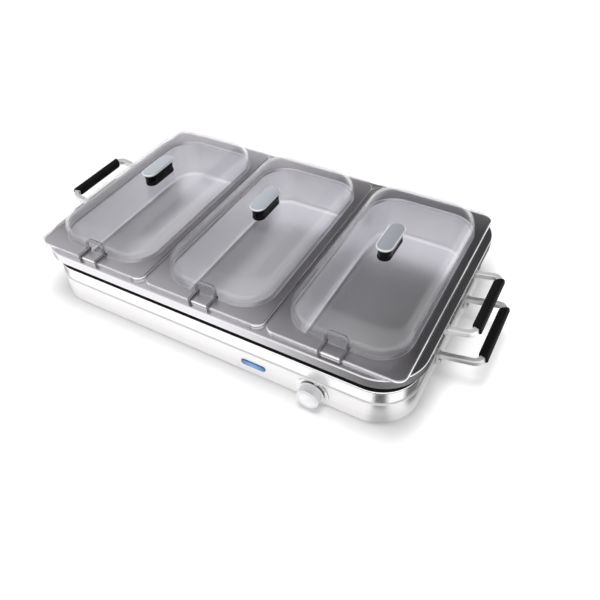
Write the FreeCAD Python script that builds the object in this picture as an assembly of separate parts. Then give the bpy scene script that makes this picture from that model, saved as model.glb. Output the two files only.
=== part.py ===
"""Electric food warmer tray: a heated base, a lift-off carrier frame, three pans and three clear lids.

Millimetres. X runs along the front, Y from front to back, Z up. Pieces are made about the centre of
the base and are saved about the centre of the overall length and depth, knob included, on the
surface that the feet stand on.
"""
import FreeCAD, Part
import math
import os

V = FreeCAD.Vector
X_AXIS = V(1, 0, 0)
Y_AXIS = V(0, 1, 0)
Z_AXIS = V(0, 0, 1)

# ---------------------------------------------------------------- driving dimensions
# pans: the usual third-size food pan pattern
PAN_WIDTH = 176.0
PAN_LENGTH = 325.0
PAN_GAP = 2.0
PAN_DEPTH = 58.5
PAN_SHEET = 0.9
PAN_RIM_SIDE = 11.5
PAN_RIM_END = 16.5
PAN_CORNER_R = 13.0
PAN_MOUTH_R = 42.0
PAN_TAPER = 7.5
PAN_FLOOR_R = 9.0
PAN_LIP = 3.7
PAN_NAMES = ("left", "middle", "right")

# carrier frame
FRAME_MARGIN_SIDE = 10.5
FRAME_MARGIN_END = 7.5
FRAME_CORNER_R = 57.0
FRAME_SHEET = 1.0
FRAME_SKIRT = 14.0
FRAME_EDGE_R = 1.6
FRAME_HOLE_CLEARANCE = 3.0

# base
FOOT_PROUD = 3.0
BELT_HEIGHT = 37.0
BELT_SHEET = 1.5
BELT_LIP = 12.0
BELT_INSET = 5.0
BELT_CORNER_R = 53.0
BAND_HEIGHT = 22.5
SHELL_SHEET = 1.0
SHELL_SHOULDER_R = 4.0
WALL_GAP = 0.1
BAY_HEIGHT = 22.8
COVER_SHEET = 1.0
PLATE_THICK = 2.0
PLATE_MARGIN = 6.0
PAN_FLOOR_CLEARANCE = 5.0
WELL_FLANGE = 6.0

# seat ring between the base and the carrier frame
RING_WIDTH = 6.5
RING_INSET = 4.0

# clearances between pieces that come apart
SEAT_GAP = 0.3
RUN_GAP = 0.08

# clear lids
LID_WALL = 2.0
LID_RISE = 32.0
LID_SHOULDER_R = 25.0
LID_EDGE_CLEARANCE = 0.8
LID_SKIRT_CLEARANCE = 0.6
LID_SKIRT_WALL = 1.4
LID_PLUG = 3.0
LID_PLUG_CLEARANCE = 2.0
LID_PLUG_WALL = 1.5
NOTCH_WIDTH = 25.0
NOTCH_RISE = 15.0
NOTCH_CORNER_R = 5.0
NOTCH_BEAD = 2.4
NOTCH_BEAD_PROUD = 1.4

# lid handles
KNOB_PILLAR_WIDTH = 18.0
KNOB_PILLAR_LENGTH = 52.0
KNOB_PILLAR_HEIGHT = 16.5
KNOB_PILLAR_WAIST = 1.2
KNOB_PILLAR_FOOT = 3.3
LID_CAP_WIDTH = 22.0
LID_CAP_LENGTH = 58.0
LID_CAP_THICK = 3.0
LID_CAP_CHAMFER = 1.2
LID_SCREW_D = 3.5
LID_SCREW_HEAD_D = 7.0
LID_SCREW_HEAD = 2.4
LID_SCREW_LENGTH = 12.0
LID_WASHER_D = 12.0
LID_WASHER_THICK = 0.8

# side handles, two on the frame and two on the base
BAR_SIZE = 7.5
BAR_EDGE_R = 1.5
BAR_SPREAD = 108.0
BAR_BEND_R = 10.0
BAR_TILT = 12.0
FRAME_BAR_REACH = 32.5
FRAME_BAR_FLANGE = 10.0
FRAME_BAR_FLANGE_THICK = 1.5
BASE_BAR_REACH = 53.0
BASE_BAR_ROOT_Z = 34.5
TAB_WIDTH = 10.0
TAB_THICK = 3.0
TAB_LENGTH = 20.0
TAB_HOLE_DROP = 10.5
GRIP_LENGTH = 98.0
GRIP_WIDTH = 13.0
GRIP_HEIGHT = 12.0
GRIP_EDGE_R = 5.0
GRIP_SLANT = 6.0
HANDLE_SCREW_D = 3.5
HANDLE_SCREW_HEAD_D = 7.5
HANDLE_SCREW_HEAD = 2.2
NUT_WIDTH = 6.0
NUT_THICK = 2.8
FRAME_SCREW_DEPTH = 8.0

# control knob and thermostat
KNOB_END = 115.5
KNOB_Z = 19.5
KNOB_D = 30.0
KNOB_SKIRT_D = 33.0
KNOB_SKIRT = 2.6
KNOB_LENGTH = 15.0
KNOB_BEVEL = 2.2
KNOB_CAP_D = 22.0
KNOB_CAP_THICK = 1.0
KNOB_MARK_WIDTH = 1.2
KNOB_MARK_DEPTH = 0.6
KNOB_NUT_ROOM = 3.2
DIAL_D = 43.0
DIAL_THICK = 0.6
DIAL_NUB_ANGLE = 18.0
DIAL_NUB_D = 4.6
DIAL_NUB_PROUD = 1.2
SHAFT_D = 6.0
SHAFT_FLAT = 1.4
SHAFT_LENGTH = 22.0
BUSH_D = 9.0
BUSH_PROUD = 3.2
PANEL_NUT_WIDTH = 13.0
PANEL_NUT_THICK = 2.2
THERMOSTAT_WIDTH = 30.0
THERMOSTAT_DEPTH = 22.0
THERMOSTAT_HEIGHT = 17.0
THERMOSTAT_TAB_WIDTH = 6.0
THERMOSTAT_TAB_THICK = 0.8
THERMOSTAT_TAB_LENGTH = 8.0
THERMOSTAT_TAB_PITCH = 14.0

# indicator window and its lamp
LENS_SPACING = 84.0
LENS_Z = 20.5
LENS_LENGTH = 36.0
LENS_HEIGHT = 9.5
LENS_PROUD = 0.8
LENS_SKIN = 1.2
LENS_FLANGE = 2.0
LAMP_D = 5.0
LAMP_LENGTH = 16.0
LAMP_CLIP_SHEET = 0.8
LAMP_CLIP_WIDTH = 10.0

# heating element under the well floor
ELEMENT_D = 6.5
ELEMENT_RUNS = 4
ELEMENT_SIDE_MARGIN = 50.4
ELEMENT_FUSE_SPACE = 16.0
ELEMENT_TAIL = 22.0
TERMINAL_D = 3.0
TERMINAL_LENGTH = 12.0
CLAMP_COUNT = 3
CLAMP_PITCH = 120.0
CLAMP_WIDTH = 12.0
CLAMP_SHEET = 1.0
CLAMP_FOOT = 14.0
CLAMP_HOLE_REACH = 8.4
CLAMP_SCREW_D = 3.5
CLAMP_SCREW_HEAD_D = 7.0
CLAMP_SCREW_HEAD = 2.0
MAT_THICK = 4.0
MAT_END_MARGIN = 17.0
MAT_SIDE_MARGIN = 6.0
REFLECTOR_SHEET = 0.5
REFLECTOR_LEG_HALF = 6.0

# safety parts and wiring
FUSE_D = 4.2
FUSE_LENGTH = 26.0
FUSE_END = 43.5
FUSE_CLIP_WIDTH = 9.0
FUSE_CLIP_SHEET = 0.6
BLOCK_SPACING = 45.0
BLOCK_WIDTH = 34.0
BLOCK_DEPTH = 18.0
BLOCK_HEIGHT = 12.0
BLOCK_POLES = 3
BLOCK_SCREW_D = 3.4
BLOCK_SCREW_LENGTH = 6.0
LEAD_D = 2.2
LEAD_BEND_R = 7.0
LEAD_SPACING = 8.0
LEAD_SLOPE = 26.0
LEAD_REACH = 4.0
GROMMET_END = 76.5
GROMMET_D = 15.0
GROMMET_BORE_D = 7.2
GROMMET_FLANGE_D = 20.0
GROMMET_FLANGE = 2.0
INLET_HOLE = 24.0
INLET_PLATE_THICK = 1.5
INLET_PLATE_HEIGHT = 30.0
INLET_PLATE_MARGIN = 7.0
INLET_PLATE_R = 4.0
INLET_SCREW_SPACING = 18.0
INLET_SCREW_D = 3.5
INLET_HEAD_D = 7.0
INLET_HEAD = 2.2

# cover fixings and feet
FOOT_D = 22.0
FOOT_INSET_X = 49.5
FOOT_INSET_Y = 47.0
FOOT_EDGE_R = 1.2
FOOT_SCREW_D = 3.5
FOOT_SCREW_HEAD_D = 8.0
FOOT_SCREW_HEAD = 2.0
FOOT_SCREW_RECESS = 0.6
COVER_SCREW_D = 3.5
COVER_SCREW_HEAD_D = 6.5
COVER_SCREW_HEAD = 1.8
COVER_SCREW_LENGTH = 6.0
VENT_LENGTH = 30.0
VENT_WIDTH = 4.0
VENT_ROWS = 4
VENT_COLUMNS = 6
VENT_PITCH_X = 46.0
VENT_PITCH_Y = 26.0

# ---------------------------------------------------------------- derived places
PITCH = PAN_WIDTH + PAN_GAP
PAN_X = {name: (index - 1) * PITCH for index, name in enumerate(PAN_NAMES)}
PAN_HALF = (PAN_WIDTH / 2, PAN_LENGTH / 2)
MOUTH_HALF = (PAN_WIDTH / 2 - PAN_RIM_SIDE, PAN_LENGTH / 2 - PAN_RIM_END)
SET_HALF = (PITCH * (len(PAN_NAMES) - 1) / 2 + PAN_WIDTH / 2, PAN_LENGTH / 2)
FRAME_HALF = (SET_HALF[0] + FRAME_MARGIN_SIDE, SET_HALF[1] + FRAME_MARGIN_END)
BELT_HALF = (FRAME_HALF[0] - BELT_INSET, FRAME_HALF[1] - BELT_INSET)
SHELL_HALF = tuple(half - BELT_SHEET - WALL_GAP for half in BELT_HALF)
SHELL_CORNER_R = BELT_CORNER_R - BELT_SHEET - WALL_GAP
RING_HALF = tuple(half - RING_INSET for half in SHELL_HALF)
RING_CORNER_R = SHELL_CORNER_R - RING_INSET
WELL_HALF = tuple(half - RING_WIDTH - SHELL_SHEET / 2 for half in RING_HALF)
WELL_CORNER_R = RING_CORNER_R - RING_WIDTH - SHELL_SHEET / 2

BELT_Z = FOOT_PROUD
BELT_TOP_Z = BELT_Z + BELT_HEIGHT
SHELL_TOP_Z = BELT_TOP_Z + BAND_HEIGHT
COVER_Z = BELT_Z + BELT_SHEET
COVER_TOP_Z = COVER_Z + COVER_SHEET
WELL_UNDER_Z = COVER_TOP_Z + BAY_HEIGHT
WELL_FLOOR_Z = WELL_UNDER_Z + SHELL_SHEET
PLATE_TOP_Z = WELL_FLOOR_Z + PLATE_THICK
PAN_BOTTOM_Z = PLATE_TOP_Z + PAN_FLOOR_CLEARANCE
PAN_TOP_Z = PAN_BOTTOM_Z + PAN_DEPTH
FRAME_TOP_Z = PAN_TOP_Z - PAN_LIP - SEAT_GAP
FRAME_UNDER_Z = FRAME_TOP_Z - FRAME_SHEET
SKIRT_Z = FRAME_TOP_Z - FRAME_SKIRT
RING_TOP_Z = FRAME_UNDER_Z - SEAT_GAP
LID_Z = PAN_TOP_Z + SEAT_GAP
LID_TOP_Z = LID_Z + LID_RISE
ELEMENT_Z = WELL_UNDER_Z - RUN_GAP - ELEMENT_D / 2
MAT_TOP_Z = WELL_UNDER_Z - ELEMENT_D - 2 * RUN_GAP - CLAMP_SHEET
MAT_Z = MAT_TOP_Z - MAT_THICK
LID_SKIRT_Z = FRAME_TOP_Z + LID_SKIRT_CLEARANCE
FRONT_Y = -BELT_HALF[1]
BACK_Y = BELT_HALF[1]
KNOB_X = BELT_HALF[0] - KNOB_END
LENS_X = KNOB_X - LENS_SPACING
FUSE_X = BELT_HALF[0] - FUSE_END
GROMMET_X = BELT_HALF[0] - GROMMET_END
EARTH_X = GROMMET_X + INLET_SCREW_SPACING
BLOCK_X = GROMMET_X - BLOCK_SPACING
FOOT_X = BELT_HALF[0] - FOOT_INSET_X
FOOT_Y = BELT_HALF[1] - FOOT_INSET_Y
ELEMENT_HALF_LENGTH = FUSE_X - ELEMENT_FUSE_SPACE - TERMINAL_LENGTH - ELEMENT_TAIL
ELEMENT_HALF_SPREAD = WELL_HALF[1] - ELEMENT_SIDE_MARGIN
ELEMENT_PITCH = 2 * ELEMENT_HALF_SPREAD / (ELEMENT_RUNS - 1)
MAT_HALF_LENGTH = ELEMENT_HALF_LENGTH + MAT_END_MARGIN
MAT_HALF_WIDTH = ELEMENT_HALF_SPREAD + MAT_SIDE_MARGIN
KNOB_FACE_Y = FRONT_Y - DIAL_THICK - SEAT_GAP - KNOB_LENGTH
CENTRE_Y = (FRAME_HALF[1] + KNOB_FACE_Y) / 2
WALL_STACK = BELT_SHEET + WALL_GAP + SHELL_SHEET
MATCH = 1e-3


# ---------------------------------------------------------------- solid helpers
def rounded_wire(half_x, half_y, radius, z, x=0.0, y=0.0):
    """A rectangle with round corners, as one closed wire that starts on its right side."""
    corners = ((1, 1), (-1, 1), (-1, -1), (1, -1))
    edges = []
    ends = []
    for quarter, (sign_x, sign_y) in enumerate(corners):
        centre = V(x + sign_x * (half_x - radius), y + sign_y * (half_y - radius), z)
        points = []
        for part in (0, 1, 2):
            turn = (quarter + part / 2) * math.pi / 2
            points.append(centre + V(math.cos(turn), math.sin(turn), 0) * radius)
        ends.append((points[0], points[-1]))
        edges.append(Part.Arc(*points).toShape())
    path = []
    for index, arc in enumerate(edges):
        path.append(arc)
        leave = ends[index][1]
        arrive = ends[(index + 1) % len(ends)][0]
        path.append(Part.makeLine(leave, arrive))
    return Part.Wire(path)


def rounded_prism(half, radius, low, high, x=0.0, y=0.0):
    """A block with round vertical corners between two heights."""
    face = Part.Face(rounded_wire(half[0], half[1], radius, low, x, y))
    return face.extrude(Z_AXIS * (high - low))


def span(centre, size):
    """Low and high ends of a length about its centre."""
    return (centre - size / 2, centre + size / 2)


def box(x_range, y_range, z_range):
    """A block between its low and high corner values."""
    size = [high - low for low, high in (x_range, y_range, z_range)]
    return Part.makeBox(*size, V(x_range[0], y_range[0], z_range[0]))


def cylinder(diameter, height, base, direction=Z_AXIS):
    """A round bar from its base centre along a direction."""
    return Part.makeCylinder(diameter / 2, height, base, direction)


def inset(half, amount):
    """Half sizes made smaller by one amount all round."""
    return (half[0] - amount, half[1] - amount)


def edges_at_height(solid, z):
    """Edges that lie flat at one height."""
    return [edge for edge in solid.Edges
            if abs(edge.BoundBox.ZMin - z) < MATCH and abs(edge.BoundBox.ZMax - z) < MATCH]


def rim_edges(solid, z, half):
    """Flat edges at one height that lie on an outline of the given half sizes."""
    found = []
    for edge in edges_at_height(solid, z):
        bound = edge.BoundBox
        reach_x = max(abs(bound.XMin), abs(bound.XMax))
        reach_y = max(abs(bound.YMin), abs(bound.YMax))
        if abs(reach_x - half[0]) < MATCH or abs(reach_y - half[1]) < MATCH:
            found.append(edge)
    return found


def stadium(width, length, low, high, x=0.0, y=0.0):
    """An upright block whose plan is a slot with round ends, long along Y."""
    return rounded_prism((width / 2, length / 2), width / 2 - MATCH, low, high, x, y)


def mirrored(solid):
    """The same piece on the other side of the YZ plane."""
    return solid.mirror(V(0, 0, 0), X_AXIS)


def hexagon(width, height, base, direction=Z_AXIS):
    """A six-sided nut blank; width is across its flats."""
    reach = width / 2 / math.cos(math.pi / 6)
    spin = [V(reach * math.cos(k * math.pi / 3), reach * math.sin(k * math.pi / 3), 0) for k in range(7)]
    blank = Part.Face(Part.makePolygon(spin)).extrude(Z_AXIS * height)
    blank.Placement = FreeCAD.Placement(base, FreeCAD.Rotation(Z_AXIS, direction))
    return blank


def path_wire(points, bend):
    """Straight runs joined by arcs of one radius that are tangent to both runs."""
    edges = []
    last = points[0]
    for before, corner, after in zip(points, points[1:], points[2:]):
        arrive = (corner - before).normalize()
        leave = (after - corner).normalize()
        half_turn = arrive.getAngle(leave) / 2
        reach = bend * math.tan(half_turn)
        start = corner - arrive * reach
        end = corner + leave * reach
        inward = (leave - arrive).normalize()
        middle = corner + inward * (bend / math.cos(half_turn) - bend)
        edges.append(Part.makeLine(last, start))
        edges.append(Part.Arc(start, middle, end).toShape())
        last = end
    edges.append(Part.makeLine(last, points[-1]))
    return Part.Wire(edges)


def tube_along(points, diameter, bend):
    """A solid round bar along straight runs and arcs."""
    heading = points[1] - points[0]
    ring = Part.Wire(Part.makeCircle(diameter / 2, points[0], heading))
    return path_wire(points, bend).makePipeShell([ring], True, True)


def screw(diameter, length, head_diameter, head_height, seat, direction):
    """A pan-head screw: its head stands behind the seat and its shank runs along the direction."""
    shank = cylinder(diameter, length, seat, direction)
    head = cylinder(head_diameter, head_height, seat - direction * head_height, direction)
    return head.fuse(shank).removeSplitter()


def join(solids):
    """One solid from overlapping parts."""
    body = solids[0].multiFuse(list(solids[1:]))
    return body.removeSplitter()


def save(name, solids):
    """Write one node: one solid, or a group of separate like solids, about the overall centre."""
    group = solids if isinstance(solids, list) else [solids]
    shape = group[0] if len(group) == 1 else Part.makeCompound(group)
    shape = shape.translated(V(0, -CENTRE_Y, 0))
    shape.exportStep("parts/" + name + ".step")
    print(name, len(shape.Solids), "solid(s), valid", shape.isValid(), round(shape.Volume), "mm3")


# ---------------------------------------------------------------- base shells
def belt_walls():
    """Wall of the outer belt before its holes."""
    outer = rounded_prism(BELT_HALF, BELT_CORNER_R, BELT_Z, BELT_TOP_Z)
    hollow = rounded_prism(inset(BELT_HALF, BELT_SHEET), BELT_CORNER_R - BELT_SHEET,
                           BELT_Z + BELT_SHEET, BELT_TOP_Z)
    mouth = rounded_prism(inset(BELT_HALF, BELT_LIP), BELT_CORNER_R - BELT_LIP, BELT_Z, COVER_Z)
    return outer.cut(hollow).cut(mouth)


def shell_walls():
    """The drawn upper shell: outer wall and flange in one sheet, open in the middle."""
    low = COVER_Z
    outer = rounded_prism(SHELL_HALF, SHELL_CORNER_R, low, SHELL_TOP_Z)
    outer = outer.makeFillet(SHELL_SHOULDER_R, rim_edges(outer, SHELL_TOP_Z, SHELL_HALF))
    inner_half = inset(SHELL_HALF, SHELL_SHEET)
    inner_top = SHELL_TOP_Z - SHELL_SHEET
    inner = rounded_prism(inner_half, SHELL_CORNER_R - SHELL_SHEET, low, inner_top)
    inner = inner.makeFillet(SHELL_SHOULDER_R - SHELL_SHEET, rim_edges(inner, inner_top, inner_half))
    mouth = rounded_prism(inset(WELL_HALF, SHELL_SHEET), WELL_CORNER_R - SHELL_SHEET, low, SHELL_TOP_Z)
    return outer.cut(inner).cut(mouth).removeSplitter()


def wall_holes():
    """Cutters through both side walls of the base: bush, window, inlet, inlet and handle screws."""
    depth = 3 * WALL_STACK
    front_y = FRONT_Y - WALL_STACK
    back_y = BACK_Y + WALL_STACK
    holes = [cylinder(BUSH_D + 2 * RUN_GAP, depth, V(KNOB_X, front_y, KNOB_Z), Y_AXIS),
             box(span(GROMMET_X, INLET_HOLE), (back_y - depth, back_y), span(GROMMET_Z, INLET_HOLE)),
             lens_block(LENS_LENGTH + 2 * RUN_GAP, LENS_HEIGHT + 2 * RUN_GAP, front_y, front_y + depth)]
    for x in inlet_screw_places():
        holes.append(cylinder(INLET_SCREW_D + 2 * RUN_GAP, depth, V(x, back_y, GROMMET_Z), -Y_AXIS))
    for seat, direction in base_screw_seats():
        holes.append(cylinder(HANDLE_SCREW_D + 2 * RUN_GAP, TAB_THICK + depth, seat, direction))
    return holes


def lens_block(length, height, low_y, high_y):
    """A pill-shaped block that lies along X, between two depths."""
    radius = height / 2
    reach = length / 2 - radius
    bar = box((LENS_X - reach, LENS_X + reach), (low_y, high_y), (LENS_Z - radius, LENS_Z + radius))
    ends = [cylinder(height, high_y - low_y, V(LENS_X + side * reach, low_y, LENS_Z), Y_AXIS)
            for side in (-1, 1)]
    return join([bar] + ends)


def cover_screw_places():
    """Places of the bottom cover's screws, on the belt's folded lip."""
    reach_x = BELT_HALF[0] - BELT_LIP / 2 - BELT_SHEET / 2
    reach_y = BELT_HALF[1] - BELT_LIP / 2 - BELT_SHEET / 2
    along = SET_HALF[0] / 2
    places = [(side * along, end * reach_y) for side in (-1, 1) for end in (-1, 1)]
    places += [(0.0, end * reach_y) for end in (-1, 1)]
    places += [(side * reach_x, 0.0) for side in (-1, 1)]
    return places


def make_lower_belt(holes):
    """The outer belt: straight wall, folded in below to carry the bottom cover."""
    belt = belt_walls()
    for hole in holes:
        belt = belt.cut(hole)
    for x, y in cover_screw_places():
        belt = belt.cut(cylinder(COVER_SCREW_D + 2 * RUN_GAP, 3 * BELT_SHEET, V(x, y, BELT_Z - BELT_SHEET)))
    return belt


def make_upper_shell(holes):
    """The upper shell with its holes for the shaft, window, inlet and screws."""
    shell = shell_walls()
    for hole in holes:
        shell = shell.cut(hole)
    return shell


def make_well_pan():
    """The heated well: a shallow tray, spot-welded by its flange under the shell's flange."""
    top = SHELL_TOP_Z - SHELL_SHEET
    wall = rounded_prism(WELL_HALF, WELL_CORNER_R, WELL_UNDER_Z, top)
    flange = rounded_prism(inset(WELL_HALF, -WELL_FLANGE), WELL_CORNER_R + WELL_FLANGE,
                           top - SHELL_SHEET, top)
    hollow = rounded_prism(inset(WELL_HALF, SHELL_SHEET), WELL_CORNER_R - SHELL_SHEET, WELL_FLOOR_Z, top)
    return wall.fuse(flange).cut(hollow).removeSplitter()


def make_bottom_cover():
    """A flat sheet on the belt's lip, with vent slots and holes for screws and feet."""
    margin = SHELL_SHEET + SEAT_GAP
    cover = rounded_prism(inset(SHELL_HALF, margin), SHELL_CORNER_R - margin, COVER_Z, COVER_TOP_Z)
    slots = []
    for row in range(VENT_ROWS):
        for column in range(VENT_COLUMNS):
            x = (column - (VENT_COLUMNS - 1) / 2) * VENT_PITCH_X
            y = (row - (VENT_ROWS - 1) / 2) * VENT_PITCH_Y
            slots.append(rounded_prism((VENT_LENGTH / 2, VENT_WIDTH / 2), VENT_WIDTH / 2 - MATCH,
                                       COVER_Z - COVER_SHEET, COVER_TOP_Z + COVER_SHEET, x, y))
    for x, y in foot_places():
        slots.append(cylinder(FOOT_SCREW_D, 3 * COVER_SHEET, V(x, y, COVER_Z - COVER_SHEET)))
    for x, y in cover_screw_places():
        slots.append(cylinder(COVER_SCREW_D, 3 * COVER_SHEET, V(x, y, COVER_Z - COVER_SHEET)))
    return cover.cut(Part.makeCompound(slots))


def foot_places():
    """Centres of the four feet."""
    return [(side * FOOT_X, end * FOOT_Y) for side in (-1, 1) for end in (-1, 1)]


def make_feet():
    """Rubber feet under the bottom cover, with a counterbore for their screws."""
    feet = []
    for x, y in foot_places():
        foot = cylinder(FOOT_D, COVER_Z, V(x, y, 0))
        foot = foot.makeFillet(FOOT_EDGE_R, edges_at_height(foot, 0))
        bore = cylinder(FOOT_SCREW_HEAD_D + 2 * SEAT_GAP, FOOT_SCREW_RECESS + FOOT_SCREW_HEAD, V(x, y, 0))
        shank = cylinder(FOOT_SCREW_D + 2 * RUN_GAP, COVER_Z, V(x, y, 0))
        feet.append(foot.cut(bore).cut(shank))
    return feet


def make_foot_screws():
    """Screws up through the feet into the bottom cover."""
    seat = FOOT_SCREW_RECESS + FOOT_SCREW_HEAD
    length = COVER_TOP_Z + COVER_SHEET - seat
    return [screw(FOOT_SCREW_D, length, FOOT_SCREW_HEAD_D, FOOT_SCREW_HEAD, V(x, y, seat), Z_AXIS)
            for x, y in foot_places()]


def make_cover_screws():
    """Screws up through the belt's lip into the bottom cover."""
    return [screw(COVER_SCREW_D, COVER_SCREW_LENGTH, COVER_SCREW_HEAD_D, COVER_SCREW_HEAD,
                  V(x, y, BELT_Z), Z_AXIS) for x, y in cover_screw_places()]


def make_seat_ring():
    """The black ring that stands on the base's flange and carries the frame."""
    outer = rounded_prism(RING_HALF, RING_CORNER_R, SHELL_TOP_Z, RING_TOP_Z)
    inner = rounded_prism(inset(RING_HALF, RING_WIDTH), RING_CORNER_R - RING_WIDTH, SHELL_TOP_Z, RING_TOP_Z)
    return outer.cut(inner)


# ---------------------------------------------------------------- heating and electrics
def make_warming_plate():
    """Flat aluminium plate on the well floor."""
    half = inset(WELL_HALF, SHELL_SHEET + PLATE_MARGIN)
    return rounded_prism(half, WELL_CORNER_R - SHELL_SHEET - PLATE_MARGIN, WELL_FLOOR_Z, PLATE_TOP_Z)


def element_runs():
    """Y places of the element's straight runs, front to back."""
    return [(index - (ELEMENT_RUNS - 1) / 2) * ELEMENT_PITCH for index in range(ELEMENT_RUNS)]


def make_heating_element():
    """Tubular element: straight runs along X joined by half-round bends, with two terminal pins."""
    edges = []
    runs = element_runs()
    side = -1
    start = V(ELEMENT_HALF_LENGTH + ELEMENT_TAIL, runs[0], ELEMENT_Z)
    last = start
    for here, there in zip(runs, runs[1:]):
        bend_start = V(side * ELEMENT_HALF_LENGTH, here, ELEMENT_Z)
        bend_end = V(side * ELEMENT_HALF_LENGTH, there, ELEMENT_Z)
        bend_top = V(side * (ELEMENT_HALF_LENGTH + ELEMENT_PITCH / 2), (here + there) / 2, ELEMENT_Z)
        edges.append(Part.makeLine(last, bend_start))
        edges.append(Part.Arc(bend_start, bend_top, bend_end).toShape())
        last = bend_end
        side = -side
    end = V(ELEMENT_HALF_LENGTH + ELEMENT_TAIL, runs[-1], ELEMENT_Z)
    edges.append(Part.makeLine(last, end))
    ring = Part.Wire(Part.makeCircle(ELEMENT_D / 2, start, X_AXIS))
    tube = Part.Wire(edges).makePipeShell([ring], True, True)
    pins = [cylinder(TERMINAL_D, TERMINAL_LENGTH, tip, X_AXIS) for tip in (start, end)]
    return join([tube] + pins)


def clamp_places():
    """Centres of the clamps across the element's inner runs."""
    return [((index - (CLAMP_COUNT - 1) / 2) * CLAMP_PITCH, y)
            for index in range(CLAMP_COUNT) for y in element_runs()[1:-1]]


def make_element_clamps():
    """Bent strips that hold the element up against the well floor."""
    clamps = []
    bore = ELEMENT_D + 2 * RUN_GAP
    for x, y in clamp_places():
        hat = box((x - CLAMP_WIDTH / 2, x + CLAMP_WIDTH / 2),
                  (y - bore / 2 - CLAMP_SHEET, y + bore / 2 + CLAMP_SHEET),
                  (WELL_UNDER_Z - bore - CLAMP_SHEET, WELL_UNDER_Z))
        channel = box((x - CLAMP_WIDTH, x + CLAMP_WIDTH), (y - bore / 2, y + bore / 2),
                      (WELL_UNDER_Z - bore, WELL_UNDER_Z + CLAMP_SHEET))
        foot = box((x - CLAMP_WIDTH / 2, x + CLAMP_WIDTH / 2), (y + bore / 2, y + bore / 2 + CLAMP_FOOT),
                   (WELL_UNDER_Z - CLAMP_SHEET, WELL_UNDER_Z))
        hole = cylinder(CLAMP_SCREW_D + 2 * RUN_GAP, 3 * CLAMP_SHEET,
                        V(x, y + bore / 2 + CLAMP_HOLE_REACH, WELL_UNDER_Z - 2 * CLAMP_SHEET))
        clamps.append(hat.cut(channel).fuse(foot).cut(hole).removeSplitter())
    return clamps


def make_clamp_screws():
    """Weld-stud screws that hold the clamps, their heads below the clamp feet."""
    bore = ELEMENT_D + 2 * RUN_GAP
    seat_z = WELL_UNDER_Z - CLAMP_SHEET
    return [screw(CLAMP_SCREW_D, CLAMP_SHEET, CLAMP_SCREW_HEAD_D, CLAMP_SCREW_HEAD,
                  V(x, y + bore / 2 + CLAMP_HOLE_REACH, seat_z), Z_AXIS) for x, y in clamp_places()]


def make_insulation_mat():
    """Glass-fibre mat that lies in the reflector, under the element."""
    return box((-MAT_HALF_LENGTH, MAT_HALF_LENGTH), (-MAT_HALF_WIDTH, MAT_HALF_WIDTH), (MAT_Z, MAT_TOP_Z))


def make_heat_reflector():
    """Shallow tray under the mat, carried on four folded legs that stand on the bottom cover."""
    gap = 2 * RUN_GAP
    outer_x = MAT_HALF_LENGTH + gap + REFLECTOR_SHEET
    outer_y = MAT_HALF_WIDTH + gap + REFLECTOR_SHEET
    low = MAT_Z - REFLECTOR_SHEET
    tray = box((-outer_x, outer_x), (-outer_y, outer_y), (low, MAT_TOP_Z))
    hollow = box((-outer_x + REFLECTOR_SHEET, outer_x - REFLECTOR_SHEET),
                 (-outer_y + REFLECTOR_SHEET, outer_y - REFLECTOR_SHEET), (MAT_Z, WELL_UNDER_Z))
    legs = []
    for side in (-1, 1):
        for end in (-1, 1):
            x = side * (outer_x - REFLECTOR_SHEET / 2)
            y = end * (outer_y - 2 * REFLECTOR_LEG_HALF)
            legs.append(box((x - REFLECTOR_SHEET / 2, x + REFLECTOR_SHEET / 2),
                            (y - REFLECTOR_LEG_HALF, y + REFLECTOR_LEG_HALF), (COVER_TOP_Z, MAT_Z)))
    return join([tray.cut(hollow)] + legs)


THERMOSTAT_FRONT_Y = FRONT_Y + WALL_STACK + RUN_GAP


def make_thermostat_body():
    """Bimetal thermostat behind the front wall, with a threaded bush through it and two tabs."""
    top = min(KNOB_Z + THERMOSTAT_HEIGHT / 2, WELL_UNDER_Z - SEAT_GAP)
    case = box((KNOB_X - THERMOSTAT_WIDTH / 2, KNOB_X + THERMOSTAT_WIDTH / 2),
               (THERMOSTAT_FRONT_Y, THERMOSTAT_FRONT_Y + THERMOSTAT_DEPTH), (top - THERMOSTAT_HEIGHT, top))
    bush = cylinder(BUSH_D, WALL_STACK + RUN_GAP + BUSH_PROUD, V(KNOB_X, THERMOSTAT_FRONT_Y, KNOB_Z),
                    -Y_AXIS)
    tabs = []
    for x in thermostat_tab_places():
        tabs.append(box((x - THERMOSTAT_TAB_WIDTH / 2, x + THERMOSTAT_TAB_WIDTH / 2),
                        (THERMOSTAT_FRONT_Y + THERMOSTAT_DEPTH - THERMOSTAT_TAB_THICK,
                         THERMOSTAT_FRONT_Y + THERMOSTAT_DEPTH + THERMOSTAT_TAB_LENGTH),
                        (KNOB_Z - THERMOSTAT_TAB_THICK / 2, KNOB_Z + THERMOSTAT_TAB_THICK / 2)))
    bore = cylinder(SHAFT_D + 2 * RUN_GAP, SHAFT_LENGTH + WALL_STACK,
                    V(KNOB_X, SHAFT_BACK_Y + RUN_GAP, KNOB_Z), -Y_AXIS)
    return join([case, bush] + tabs).cut(bore)


def thermostat_tab_places():
    """X places of the thermostat's two tabs."""
    return [KNOB_X - THERMOSTAT_TAB_PITCH / 2, KNOB_X + THERMOSTAT_TAB_PITCH / 2]


DIAL_FRONT_Y = FRONT_Y - DIAL_THICK
NUT_FRONT_Y = DIAL_FRONT_Y - PANEL_NUT_THICK
KNOB_BACK_Y = DIAL_FRONT_Y - SEAT_GAP
SHAFT_FRONT_Y = KNOB_FACE_Y + KNOB_CAP_THICK + 2 * KNOB_CAP_THICK
SHAFT_BACK_Y = SHAFT_FRONT_Y + SHAFT_LENGTH


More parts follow.
